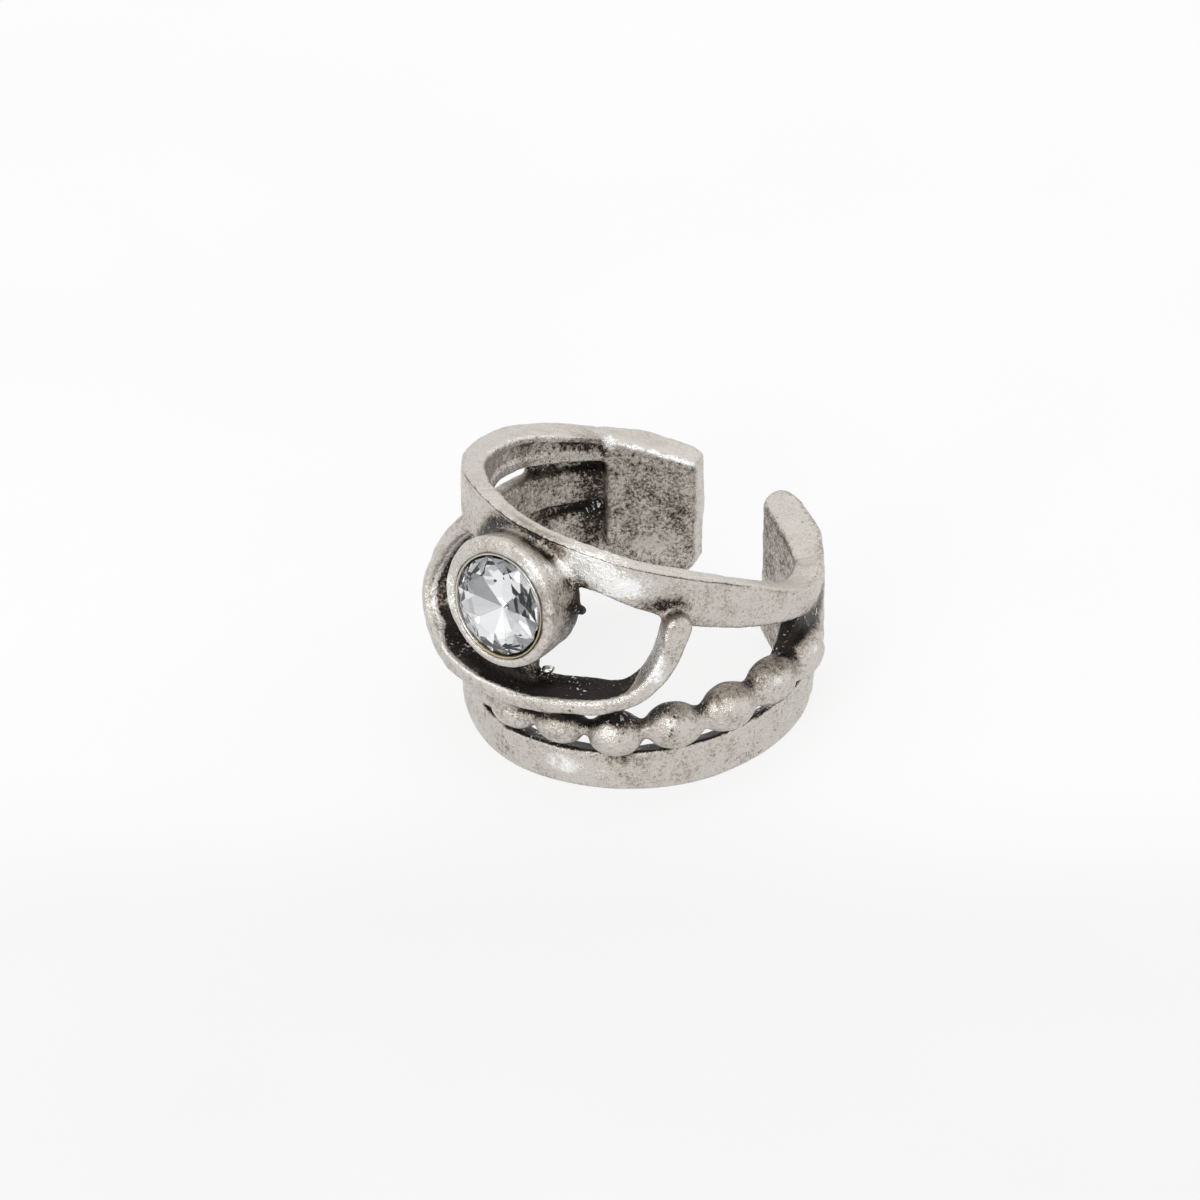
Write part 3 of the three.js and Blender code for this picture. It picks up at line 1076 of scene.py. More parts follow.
@dataclass(frozen=True)
class WearAndPaintedLight:
    """How the casting has blackened and been rubbed bright, and where painted shade and painted
    highlights lie, at each vertex of its skin.

    A pair is the limits that something fades in or out between, in degrees about the finger hole
    or in millimetres. For a line it is its middle and its width.
    """

    metal: Metalwork
    places: np.ndarray
    out: np.ndarray
    hollow_reaches: tuple[float, ...] = (0.3, 0.7, 1.3)
    worn_reaches: tuple[float, ...] = (0.15, 0.35)
    upward: Pair = (0.5, 0.9)
    loop_foot_turn: Pair = (240.0, 226.0)
    loop_foot_drop: float = 0.5
    loop_end_turn: Pair = (305.0, 313.0)
    loop_end_drop: float = 2.0
    wall_edge: float = -0.7
    wall_darkening: Pair = (0.1, 0.5)
    arm_turn: Pair = (308.0, 314.0)
    arm_height: Pair = (11.3, 10.8)
    arm_edge: Pair = (0.08, 0.22)
    arm_highlight: float = 0.95
    arm_line: Pair = (0.02, 0.07)
    arm_dark_line: float = 0.75
    rubbed_clean: float = 0.9
    seam_turn: Pair = (220.0, 436.0)
    seam_drop_turn: Pair = (362.0, 380.0)
    seam_drop: float = 0.2
    line_in: Pair = (215.0, 240.0)
    line_out: Pair = (352.0, 342.0)
    stain_line: Pair = (0.1, 0.22)
    stain_turn: Pair = (325.0, 350.0)
    plate_turn: Pair = (106.2, 140.5)
    plate_in: Pair = (105.0, 108.0)
    plate_out: Pair = (143.0, 140.0)
    plate_inset: float = 0.05
    plate_width: float = 0.2
    plate_shine: float = 0.9
    nose_radius: Pair = (8.86, 8.72)
    nose_in: Pair = (141.0, 146.0)
    nose_out: Pair = (216.0, 208.0)
    nose_shine: float = 0.4
    foot_facing: Pair = (0.25, 0.75)
    foot_walls_in: Pair = (4.0, 4.6)
    foot_walls_out: Pair = (7.2, 6.0)
    foot_depth: Pair = (-1.1, -2.7)
    foot_around: Pair = (5.0, 4.2)
    outer_side: Pair = (9.2, 9.6)
    front_side: Pair = (-5.5, -4.5)
    left_turn: Pair = (236.0, 224.0)
    left_lighter: float = 0.5
    right_turn: Pair = (316.0, 306.0)
    shelf_in: Pair = (258.0, 266.0)
    shelf_out: Pair = (392.0, 380.0)
    shelf_height: Pair = (7.4, 6.9)
    shelf_radius: Pair = (8.9, 9.2)
    shelf_facing: Pair = (0.3, 0.85)
    band_top: float = 3.3
    band_top_shade: float = 1.1
    bead_soot: float = 0.58

    @property
    def points(self) -> Points:
        """The vertices, read round the finger hole."""
        return Points(self.places)

    @property
    def deg(self) -> np.ndarray:
        """The vertices' angles, counted from the end gap."""
        return self.points.deg_from(GAP)

    def crowding(self, reaches: tuple[float, ...], side: float) -> np.ndarray:
        """Reads how much metal, or how little, stands close on one side of the skin.

        Args:
            reaches: How far off it is looked for.
            side: 1 for metal outside the skin, -1 for air behind it.

        Returns:
            From 0 for none to 1 for close on every side.
        """
        total = np.zeros(len(self.places))
        for reach in reaches:
            off = side * self.metal.distance(self.places + side * self.out * reach)
            total += np.clip(1.0 - off / reach, 0.0, 1.0) / len(reaches)
        return total

    def zoned(self, zones: tuple[Smudge, ...]) -> np.ndarray:
        """Reads the strongest of some zones.

        Args:
            zones: The zones.

        Returns:
            Its strength at each vertex.
        """
        total = np.zeros(len(self.places))
        for zone in zones:
            total = np.maximum(total, zone.strength_at(self.points))
        return total

    def marks(self) -> dict[str, np.ndarray]:
        """Gathers the marks that the finish reads.

        Returns:
            Each mark's values by its name.
        """
        points = self.points
        down = self.down_the_loop()
        wall = down - self.loop_end_drop * ramp(self.deg, *self.loop_end_turn)
        wall = wall - self.loop_foot_drop * ramp(self.deg, *self.loop_foot_turn)
        arm = ramp(self.deg, *self.arm_turn) * ramp(points.z, *self.arm_height)
        # The brightening mark: rubbed-bright zones and edges, plus painted highlights on the beads'
        # upper faces and on the arm's inner facet.
        shine = np.maximum(self.zoned(BURNISHED_AND_HIGHLIGHTS), self.rubbed_edges())
        shine = np.maximum(shine, self.arm_highlight * arm * ramp(down, *self.arm_edge))
        # The darkening mark: soot, plus painted shade round the setting, on the band's top under
        # the beads and in the crevices between parts.
        char_and_shade = np.maximum(self.setting_soot_and_shade(), self.shelf_soot_and_shade())
        char_and_shade = np.maximum(char_and_shade, self.zoned(BLACKENED_AND_SHADED))
        # On the loop's inner wall, facing the setting, the painted shade thins out towards its
        # outer edge.
        char_and_shade = np.where(wall > self.wall_edge, char_and_shade * ramp(wall, *self.wall_darkening), char_and_shade)
        # A thin dark line along the arm, beside its painted highlight.
        char_and_shade = np.maximum(char_and_shade, self.arm_dark_line * arm * bell(down, *self.arm_line))
        char_and_shade = char_and_shade * (1.0 - self.rubbed_clean * np.minimum(shine, 1.0))
        outward = self.out[:, 0] * self.places[:, 0] + self.out[:, 1] * self.places[:, 1]
        return {
            "hollow": self.crowding(self.hollow_reaches, 1.0),
            "worn": self.crowding(self.worn_reaches, -1.0),
            "inward": -outward / points.radius,
            "char_and_shade": char_and_shade,
            "shine": shine,
            "upward": ramp(self.out[:, 2], *self.upward),
            "wall": wall,
            "seam": self.below_edge(),
            "lined": stretch(self.deg, self.line_in, self.line_out),
            "stain": bell(self.below_edge(), *self.stain_line) * ramp(self.deg, *self.stain_turn),
        }

    def down_the_loop(self) -> np.ndarray:
        """Measures how far each vertex is down the loop's inner wall, which is darkened as painted
        shade.

        Returns:
            The depths in millimetres, and -1 off the wall.
        """
        points = self.points
        down = np.full(len(self.places), -1.0)
        near = np.flatnonzero(LOOP.reach(points))
        down[near] = LOOP.wall(points.pick(near))
        return down

    def below_edge(self) -> np.ndarray:
        """Measures how far each vertex is below the outer top edge of the band and right plate.

        Returns:
            The depths in millimetres, and -1 where the edge is out of sight.
        """
        points = self.points
        _, high, inner, outer = TOP_EDGE.section(np.clip(self.deg, *self.seam_turn))
        below = (high - points.z) - (outer - points.radius)
        below = below + self.seam_drop * ramp(self.deg, *self.seam_drop_turn)
        return np.where(points.radius < (inner + outer) / 2, -1.0, np.clip(below, -1.0, 1.0))

    def rubbed_edges(self) -> np.ndarray:
        """Finds the left plate's inner top edge and the noses of the rail and rim, rubbed bright.

        Returns:
            How bright each vertex is, from 0 to 1.
        """
        points = self.points
        _, high, inner, _ = LEFT_PLATE.section(np.clip(self.deg, *self.plate_turn))
        across = points.radius - inner - self.plate_inset
        off = np.hypot(across, points.z - high + self.plate_inset)
        edge = bell(off, 0.0, self.plate_width) * stretch(self.deg, self.plate_in, self.plate_out)
        nose = stretch(self.deg, self.nose_in, self.nose_out)
        nose = nose * ramp(points.radius, *self.nose_radius)
        return np.maximum(self.plate_shine * edge, self.nose_shine * nose)

    def setting_soot_and_shade(self) -> np.ndarray:
        """Finds the painted shade and soot round the foot of the setting and on the walls that face
        it.

        Returns:
            How much painted shade and soot each vertex has, from 0 to 1.
        """
        setting = self.metal.setting
        depth, off = setting.from_axis(self.places, setting.mouth())
        around = np.maximum(np.linalg.norm(off, axis=1), TINY)
        facing = -(self.out * off).sum(axis=1) / around
        walls = stretch(around, self.foot_walls_in, self.foot_walls_out)
        walls = walls * ramp(facing, *self.foot_facing) * ramp(self.deg, *self.right_turn)
        walls = walls * (1.0 - self.left_lighter * ramp(self.deg, *self.left_turn))
        foot = ramp(depth, *self.foot_depth) * ramp(around, *self.foot_around)
        outside = ramp(self.points.radius, *self.outer_side) * ramp(depth, *self.front_side)
        return np.maximum(walls, foot) * outside

    def shelf_soot_and_shade(self) -> np.ndarray:
        """Finds the soot on the tops of the beads, and the painted shade on the bottom band's top
        under them.

        Returns:
            How much soot and painted shade each vertex has, from 0 to about 1.
        """
        points = self.points
        along = stretch(self.deg, self.shelf_in, self.shelf_out)
        low = ramp(points.z, *self.shelf_height) * ramp(points.radius, *self.shelf_radius)
        upward = ramp(self.out[:, 2], *self.shelf_facing)
        soot_and_shade = np.where(points.z < self.band_top, self.band_top_shade, self.bead_soot)
        return along * low * upward * soot_and_shade


# Darkened zones: some real blackening, and painted shade in the crevices, grooves and gaps between
# parts.
BLACKENED_AND_SHADED = (
    Smudge(212, 10.2, 11.5, 1.0, 1.2, 0.8),
    Smudge(378, 10.1, 7.5, 1.3, 1.2, 1.4, 1.0),
    Smudge(371, 10.0, 7.2, 1.4, 1.1, 1.4, 1.0),
    Smudge(364, 10.0, 6.6, 1.2, 0.7, 1.4, 1.0),
    Smudge(146, 9.65, 6.5, 1.3, 3.4, 1.4, 0.4),
    Smudge(316, 10.0, 12.7, 1.3, 0.5, 0.8),
    Smudge(256, 9.9, 7.2, 4.2, 2.2, 1.3, 0.6),
    Smudge(261, 10.3, 15.3, 2.0, 0.5, 0.7, 0.9),
    Smudge(272, 10.4, 15.8, 1.4, 0.4, 0.6, 0.7),
    Smudge(280, 10.2, 15.4, 1.1, 0.4, 1.0, 0.5),
    Smudge(286.5, 10.3, 14.2, 0.5, 0.9, 1.2, 0.6),
    Smudge(288.5, 10.6, 12.6, 0.5, 0.9, 1.0, 1.2),
    Smudge(285.5, 11.0, 11.6, 1.5, 3.4, 0.8, 1.1),
    Smudge(291.4, 10.3, 12.2, 0.4, 0.4, 1.4, 0.5),
    Smudge(384, 10.4, 7.5, 1.2, 1.1, 2.0, 0.9),
    Smudge(377, 10.2, 8.1, 1.2, 0.6, 1.6, 0.9),
    Smudge(371, 10.6, 3.45, 2.4, 0.32, 1.3, 0.8),
    Smudge(361.5, 11.25, 4.5, 2.3, 0.27, 1.7, 0.7),
    Smudge(382, 10.7, 7.9, 1.0, 0.7, 1.5, 0.8),
    Smudge(147, 8.85, 11.45, 1.2, 0.4, 0.5, 0.4),
    Smudge(158, 8.85, 11.6, 1.6, 0.4, 0.4, 0.4),
    Smudge(174, 8.85, 12.6, 1.6, 0.4, 0.35, 0.4),
    Smudge(141.8, 8.75, 10.9, 0.2, 0.7, 1.1, 0.4),
    Smudge(303, 10.5, 2.3, 2.0, 0.6, 0.4, 1.0),
    Smudge(125, 9.0, 8.3, 1.4, 1.2, 0.25, 0.6),
)
# Zones rubbed bright; those on the beads' upper faces are painted highlights.
BURNISHED_AND_HIGHLIGHTS = (
    Smudge(293, 10.0, 15.0, 1.8, 0.9, 1.5),
    Smudge(303, 10.0, 14.0, 1.7, 0.8, 1.3),
    Smudge(283, 10.9, 15.2, 1.2, 0.5, 0.7, 0.7),
    Smudge(278, 12.0, 15.3, 1.2, 0.8, 0.8, 0.7),
    Smudge(253, 13.0, 11.4, 0.5, 1.9, 0.8, 0.45),
    Smudge(276.5, 9.3, 6.9, 0.4, 0.3, 1.0, 0.4),
    Smudge(139, 8.8, 11.1, 0.5, 0.35, 1.2, 0.5),
    Smudge(314, 10.9, 9.5, 0.5, 2.0, 1.0),
    Smudge(286, 10.6, 1.4, 1.6, 0.8, 0.66),
    # Painted highlights on the upper faces of the beads.
    *(Smudge(bead.deg - 2.0, 11.5, bead.z + 0.75, 0.6, 0.4, 0.55, 0.8) for bead in BEADS[2:]),
)


# ---- finishes ----


class Nodes:
    """Adds and joins the nodes of one material or of the surroundings."""

    # How strong each finer layer of a pattern is beside the one before.
    GRIT = 0.55

    def __init__(self, owner: bpy.types.Material | bpy.types.World) -> None:
        """Clears the owner's nodes.

        Args:
            owner: The material or surroundings.
        """
        self.owner = owner
        owner.use_nodes = True
        self.tree = owner.node_tree
        self.tree.nodes.clear()

    @classmethod
    def finish(cls, name: str) -> "Nodes":
        """Starts a material by name."""
        return cls(bpy.data.materials.new(name))

    def add(self, kind: str, **settings: object) -> bpy.types.Node:
        """Adds a node and sets its properties.

        Args:
            kind: The node's type, without its ShaderNode prefix.
            **settings: Properties of the node.

        Returns:
            The node.
        """
        node = self.tree.nodes.new("ShaderNode" + kind)
        for name, value in settings.items():
            setattr(node, name, value)
        return node

    def feed(self, node: bpy.types.Node, inputs: dict[int | str, object]) -> bpy.types.Node:
        """Links outputs to a node's inputs, or sets the inputs to plain values.

        Args:
            node: The node.
            inputs: An output or a plain value for each input, by its name or number.

        Returns:
            The node.
        """
        for name, value in inputs.items():
            socket = node.inputs[name]
            if isinstance(value, Socket):
                self.tree.links.new(value, socket)
            else:
                socket.default_value = value
        return node

    def millimetres(self) -> Socket:
        """Reads the piece's own coordinates.

        Returns:
            The coordinates in millimetres.
        """
        place = self.add("TexCoord").outputs["Object"]
        scaled = self.add("VectorMath", operation="SCALE")
        return self.feed(scaled, {0: place, "Scale": 1.0 / MM}).outputs[0]

    def mark(self, name: str) -> Socket:
        """Returns one of the marks written on the mesh."""
        return self.add("Attribute", attribute_name=name).outputs["Fac"]

    def toward(self, place: Socket, way: Vector | Triple) -> Socket:
        """Measures how far places lie along one way.

        Args:
            place: The places.
            way: The way.

        Returns:
            The distances.
        """
        node = self.add("VectorMath", operation="DOT_PRODUCT")
        return self.feed(node, {0: place, 1: way}).outputs["Value"]

    def noise(self, place: Socket, size: float, detail: float) -> Socket:
        """Adds a cloudy pattern.

        Args:
            place: Coordinates in millimetres.
            size: How wide its clouds are, in millimetres.
            detail: How many finer layers it has.

        Returns:
            The pattern, mostly between 0.3 and 0.7.
        """
        scale = 1.0 / size
        inputs = {"Vector": place, "Scale": scale, "Detail": detail, "Roughness": self.GRIT}
        return self.feed(self.add("TexNoise"), inputs).outputs["Fac"]

    def mottle(self, place: Socket, size: float, detail: float) -> Socket:
        """Adds a cloudy pattern spread evenly between about -1 and 1.

        Args:
            place: Coordinates in millimetres.
            size: How wide its clouds are, in millimetres.
            detail: How many finer layers it has.

        Returns:
            The pattern.
        """
        return self.weigh((self.noise(place, size, detail), 5.0), start=-2.5)

    def math(self, operation: str, *values: object, clamp: bool = False) -> Socket:
        """Adds a sum.

        Args:
            operation: The Math node's operation.
            *values: Its inputs, outputs of other nodes or plain numbers.
            clamp: Whether the result is kept between 0 and 1.

        Returns:
            The result.
        """
        node = self.add("Math", operation=operation, use_clamp=clamp)
        return self.feed(node, dict(enumerate(values))).outputs[0]

    def weigh(self, *terms: tuple[object, float], start: float = 0.0) -> Socket:
        """Adds up values by weight.

        Args:
            *terms: Pairs of a value and its weight.
            start: What the sum starts from.

        Returns:
            The sum.
        """
        total: object = start
        for value, weight in terms:
            total = self.math("MULTIPLY_ADD", value, weight, total)
        return total

    def between(
        self, value: Socket, low: float, high: float, first: float = 0.0, last: float = 1.0
    ) -> Socket:
        """Spreads a value smoothly from one range to another, and stops it at both ends.

        Args:
            value: The value.
            low: What becomes first.
            high: What becomes last.
            first: The lowest result.
            last: The highest result.

        Returns:
            The result.
        """
        node = self.add("MapRange", interpolation_type="SMOOTHSTEP")
        inputs = {"Value": value, "From Min": low, "From Max": high}
        inputs |= {"To Min": first, "To Max": last}
        return self.feed(node, inputs).outputs["Result"]

    def blend(self, share: object, first: object, second: object) -> Socket:
        """Mixes two colours.

        Args:
            share: How much of the second.
            first: A colour.
            second: A colour.

        Returns:
            The mixed colour.
        """
        node = self.add("Mix", data_type="RGBA")
        inputs = {"Factor": share, "A": colour(first), "B": colour(second)}
        return self.feed(node, inputs).outputs["Result"]

    def bump(self, height: Socket, depth: float, strength: float = 1.0) -> Socket:
        """Adds small relief.

        Args:
            height: The relief's height.
            depth: How many millimetres one unit of height is.
            strength: How much of it shows.

        Returns:
            The normal.
        """
        inputs = {"Height": height, "Distance": depth * MM, "Strength": strength}
        return self.feed(self.add("Bump"), inputs).outputs["Normal"]

    def surface(self, **sockets: object) -> bpy.types.Material:
        """Ends the material with one shader.

        Args:
            **sockets: The shader's inputs by name, with spaces as underscores.

        Returns:
            The material.
        """
        inputs = {name.replace("_", " "): colour(value) for name, value in sockets.items()}
        self.end("OutputMaterial", self.feed(self.add("BsdfPrincipled"), inputs))
        return self.owner

    def end(self, kind: str, shader: bpy.types.Node) -> None:
        """Joins the last node to an output of the given kind."""
        self.feed(self.add(kind), {"Surface": shader.outputs[0]})


def colour(value: object) -> object:
    """Gives a plain red, green, blue triple its opacity; leaves anything else alone."""
    return (*value, 1.0) if isinstance(value, tuple) and len(value) == 3 else value


@dataclass(frozen=True)
class AntiquedSilver:
    """Silver plate, tarnished in its hollows and rubbed bright where it stands out, with painted
    shade in its crevices and on the loop's inner wall, and painted highlights and glints.

    A pattern is the width of its clouds in millimetres and how many finer layers it has. Any other
    pair is the limits that something fades in between.
    """

    polished: Triple = (0.97, 0.965, 0.95)
    bright: Triple = (0.61, 0.575, 0.53)
    dull: Triple = (0.305, 0.262, 0.218)
    black: Triple = (0.018, 0.014, 0.012)
    brown: Triple = (0.36, 0.29, 0.21)
    cloud: Pair = (2.4, 3.0)
    blotch: Pair = (0.75, 4.0)
    speck: Pair = (0.2, 3.0)
    grain: Pair = (0.07, 2.0)
    wall_edge: Pair = (0.30, 0.45)
    inside: Pair = (0.2, 0.8)
    veiled: Pair = (-0.05, 0.55)
    blackening: Pair = (0.5, 0.85)
    rubbed: Pair = (0.3, 0.9)
    stained: Pair = (0.0, 0.6)
    peaks: Pair = (0.72, 0.95)
    ridge_middle: float = 0.14
    ridge_width: Pair = (0.15, 0.06)
    line_middle: float = 0.09
    line_width: Pair = (0.07, 0.02)
    relief_depth: float = 0.021
    lacquer_depth: float = 0.05
    pits_per_mm: float = 2.6
    pit_patches: Pair = (1.1, 2.0)
    pit_limits: Pair = (0.5, 0.75)
    pit_size: float = 0.3
    pit_edge: float = -0.06

    def material(self) -> bpy.types.Material:
        """Makes the material.

        Returns:
            The material.
        """
        nodes = Nodes.finish("antiqued_silver_and_painted_light")
        place = nodes.millimetres()
        cloud = nodes.mottle(place, *self.cloud)
        blotch = nodes.mottle(place, *self.blotch)
        speck = nodes.mottle(place, *self.speck)
        grain = nodes.mottle(place, *self.grain)
        char_and_shade = nodes.mark("char_and_shade")
        shine = nodes.mark("shine")
        worn = nodes.mark("worn")
        inside = nodes.between(nodes.mark("inward"), *self.inside)
        ragged = nodes.weigh((speck, 0.05), (blotch, 0.05), (nodes.mark("wall"), 1.0))
        # The loop's inner wall that faces the setting, darkened as painted shade.
        wall = nodes.between(ragged, *self.wall_edge)
        # A painted highlight along the loop's ridge, partly rubbed wear.
        ridge = self.line(nodes, ragged, self.ridge_middle, self.ridge_width)
        below = nodes.weigh((speck, 0.03), (blotch, 0.04), (nodes.mark("seam"), 1.0))
        seam = self.line(nodes, below, self.line_middle, self.line_width)
        seam = nodes.math("MULTIPLY", seam, nodes.mark("lined"))
        pits = self.pits(nodes, place)
        patina = nodes.weigh((cloud, 0.12), (blotch, 0.15), (speck, 0.25), (grain, 0.2))
        upward = nodes.mark("upward")
        contrast = nodes.weigh((inside, 0.65), (char_and_shade, 0.4), (upward, -0.6), start=1.15)
        patina = nodes.math("MULTIPLY", patina, contrast)
        # The darkening: patina in the hollows and tarnish, plus the painted shade carried by the
        # char and wall marks.
        tarnish_and_shade = nodes.weigh(
            (nodes.mark("hollow"), 1.0),
            (char_and_shade, 0.85),
            (wall, 0.8),
            (inside, 0.27),
            (ridge, -0.35),
            (worn, -0.30),
            (shine, -0.45),
            (patina, 1.0),
            (pits, 0.45),
            (seam, 0.6),
            start=0.03,
        )
        stained = nodes.weigh((speck, 0.45), (grain, 0.3), (nodes.mark("stain"), 0.8), start=-0.45)
        # Rubbed bright, with the painted highlights carried by shine and ridge.
        rubbed = nodes.weigh((shine, 1.0), (blotch, 0.3), (speck, 0.25), (worn, 0.4), (ridge, 0.7))
        veil = nodes.between(tarnish_and_shade, *self.veiled)
        soot_and_shade = nodes.between(tarnish_and_shade, *self.blackening)
        metal = nodes.blend(nodes.between(rubbed, *self.rubbed), self.bright, self.polished)
        metal = nodes.blend(nodes.between(stained, *self.stained), metal, self.brown)
        metal = nodes.blend(veil, metal, self.dull)
        metal = nodes.blend(soot_and_shade, metal, self.black)
        # Painted glints: bright flecks on the speckle's peaks in the dark zones.
        peak = nodes.between(nodes.weigh((speck, 0.9), (cloud, 0.5)), *self.peaks)
        dark_zone = nodes.weigh((char_and_shade, 0.8), (wall, 0.4), start=0.1)
        painted_glints = nodes.math("MULTIPLY", peak, dark_zone, clamp=True)
        relief = nodes.weigh((speck, 0.6), (blotch, 1.0), (grain, 0.35), (pits, -1.5), (seam, -2.0))
        return nodes.surface(
            Base_Color=nodes.blend(painted_glints, metal, self.polished),
            Metallic=1.0,
            Roughness=nodes.weigh((veil, 0.16), (shine, -0.17), (grain, 0.05), start=0.29),
            Normal=nodes.bump(relief, self.relief_depth),
            Coat_Weight=nodes.math("MULTIPLY", soot_and_shade, 0.3),
            Coat_Roughness=0.1,
            Coat_Normal=nodes.bump(relief, self.lacquer_depth),
        )

    def line(self, nodes: Nodes, value: Socket, middle: float, width: Pair) -> Socket:
        """Draws a line along an edge.

        Args:
            nodes: The material's nodes.
            value: How far each place is from the edge, in millimetres.
            middle: How far from it the line runs.
            width: How far to its side the line has gone, and how far it is still whole.

        Returns:
            1 in the line and 0 off it.
        """
        off = nodes.math("ABSOLUTE", nodes.math("SUBTRACT", value, middle))
        return nodes.between(off, *width)

    def pits(self, nodes: Nodes, place: Socket) -> Socket:
        """Scatters small casting pits.

        Args:
            nodes: The material's nodes.
            place: Coordinates in millimetres.

        Returns:
            1 in a pit and 0 off it.
        """
        cells = nodes.feed(nodes.add("TexVoronoi"), {"Vector": place, "Scale": self.pits_per_mm})
        patches = nodes.noise(place, *self.pit_patches)
        size = nodes.between(patches, *self.pit_limits, 0.0, self.pit_size)
        off = nodes.math("SUBTRACT", cells.outputs["Distance"], size)
        return nodes.between(off, 0.0, self.pit_edge)


@dataclass(frozen=True)
class WornGilt:
    """Thin worn gilding over brass, with a painted shadow in the crevice round the stone."""

    gold: Triple = (0.50, 0.43, 0.29)
    rubbed: Triple = (0.62, 0.60, 0.56)
    # The colour of the painted shadow in the crevice.
    black: Triple = (0.02, 0.018, 0.015)
    patch: Pair = (1.6, 3.0)
    grain: Pair = (0.12, 3.0)
    gilded: Pair = (0.0, 0.7)
    grained: Pair = (0.3, 0.7)
    rough: Pair = (0.25, 0.5)
    relief: Pair = (0.02, 0.5)

    def material(self) -> bpy.types.Material:
        """Makes the material.

        Returns:
            The material.
        """
        nodes = Nodes.finish("worn_gilt_and_crevice_shade")
        place = nodes.millimetres()
        patch = nodes.noise(place, *self.patch)
        grain = nodes.noise(place, *self.grain)
        gilding = nodes.weigh((nodes.mark("gilding"), 0.8), (patch, 1.0), start=-0.5)
        skin = nodes.blend(nodes.between(gilding, *self.gilded), self.rubbed, self.gold)
        return nodes.surface(
            # Black here is the painted shadow in the crevice round the stone.
            Base_Color=nodes.blend(nodes.mark("crevice_shade"), skin, self.black),
            Metallic=1.0,
            Roughness=nodes.between(grain, *self.grained, *self.rough),
            Normal=nodes.bump(grain, *self.relief),
        )


@dataclass(frozen=True)
class Crystal:
    """Clear cut glass."""

    tint: Triple = (0.985, 0.99, 1.0)
    haze: Pair = (1.2, 2.0)
    hazed: Pair = (0.45, 0.7)
    rough: Pair = (0.0, 0.03)

    def material(self) -> bpy.types.Material:
        """Makes the material.

        Returns:
            The material.
        """
        nodes = Nodes.finish("cut_crystal")
        haze = nodes.noise(nodes.millimetres(), *self.haze)
        rough = nodes.between(haze, *self.hazed, *self.rough)
        return nodes.surface(
            Base_Color=self.tint, Transmission_Weight=1.0, IOR=1.6, Roughness=rough
        )


@dataclass(frozen=True)
class MirrorFoil:
    """The silvered back of the stone, each facet with its own fixed shade, a painted reflection
    standing in for what it reflects.
    """

    light: Triple = (0.97, 0.97, 0.97)
    dark: Triple = (0.15, 0.155, 0.17)
    haze: Pair = (0.8, 3.0)
    hazed: Pair = (0.4, 0.7)
    rough: Pair = (0.02, 0.07)

    def material(self) -> bpy.types.Material:
        """Makes the material.

        Returns:
            The material.
        """
        nodes = Nodes.finish("silvered_foil_painted_reflections")
        # Each facet's painted reflection, from light to dark by its shade mark.
        skin = nodes.blend(nodes.mark("shade"), self.light, self.dark)
        haze = nodes.noise(nodes.millimetres(), *self.haze)
        rough = nodes.between(haze, *self.hazed, *self.rough)
        return nodes.surface(Base_Color=skin, Metallic=1.0, Roughness=rough)


@dataclass(frozen=True)
class PaperFloor:
    """The plain pale sheet that the ring lies on; it glows with painted light of its own, which
    washes out the shadows on it, a little dimmer farther along one way.
    """

    white: Triple = (0.16, 0.16, 0.16)
    shade: Triple = (0.15, 0.15, 0.15)
    cloud: Pair = (45.0, 3.0)
    clouded: Pair = (0.35, 0.65)
    # Painted light: how strongly the sheet glows by itself; fade takes a little off it farther
    # along fade_way.
    painted_glow: float = 0.8
    fade: float = 0.055
    fade_way: Triple = (0.63, -0.78, 0.0)
    fading: Pair = (6.0, 22.0)

    def material(self) -> bpy.types.Material:
        """Makes the material.

        Returns:
            The material.
        """
        nodes = Nodes.finish("pale_paper_painted_glow")
        place = nodes.millimetres()
        cloud = nodes.between(nodes.noise(place, *self.cloud), *self.clouded)
        forward = nodes.toward(place, self.fade_way)
        # The painted glow, a little dimmer farther along fade_way.
        painted_glow = nodes.between(forward, *self.fading, self.painted_glow, self.painted_glow - self.fade)
        return nodes.surface(
            Base_Color=nodes.blend(cloud, self.white, self.shade),
            Roughness=0.9,
            Specular_IOR_Level=0.0,
            Emission_Color=(1.0, 1.0, 1.0),
            Emission_Strength=painted_glow,
        )


# ---- the stone and its cup ----


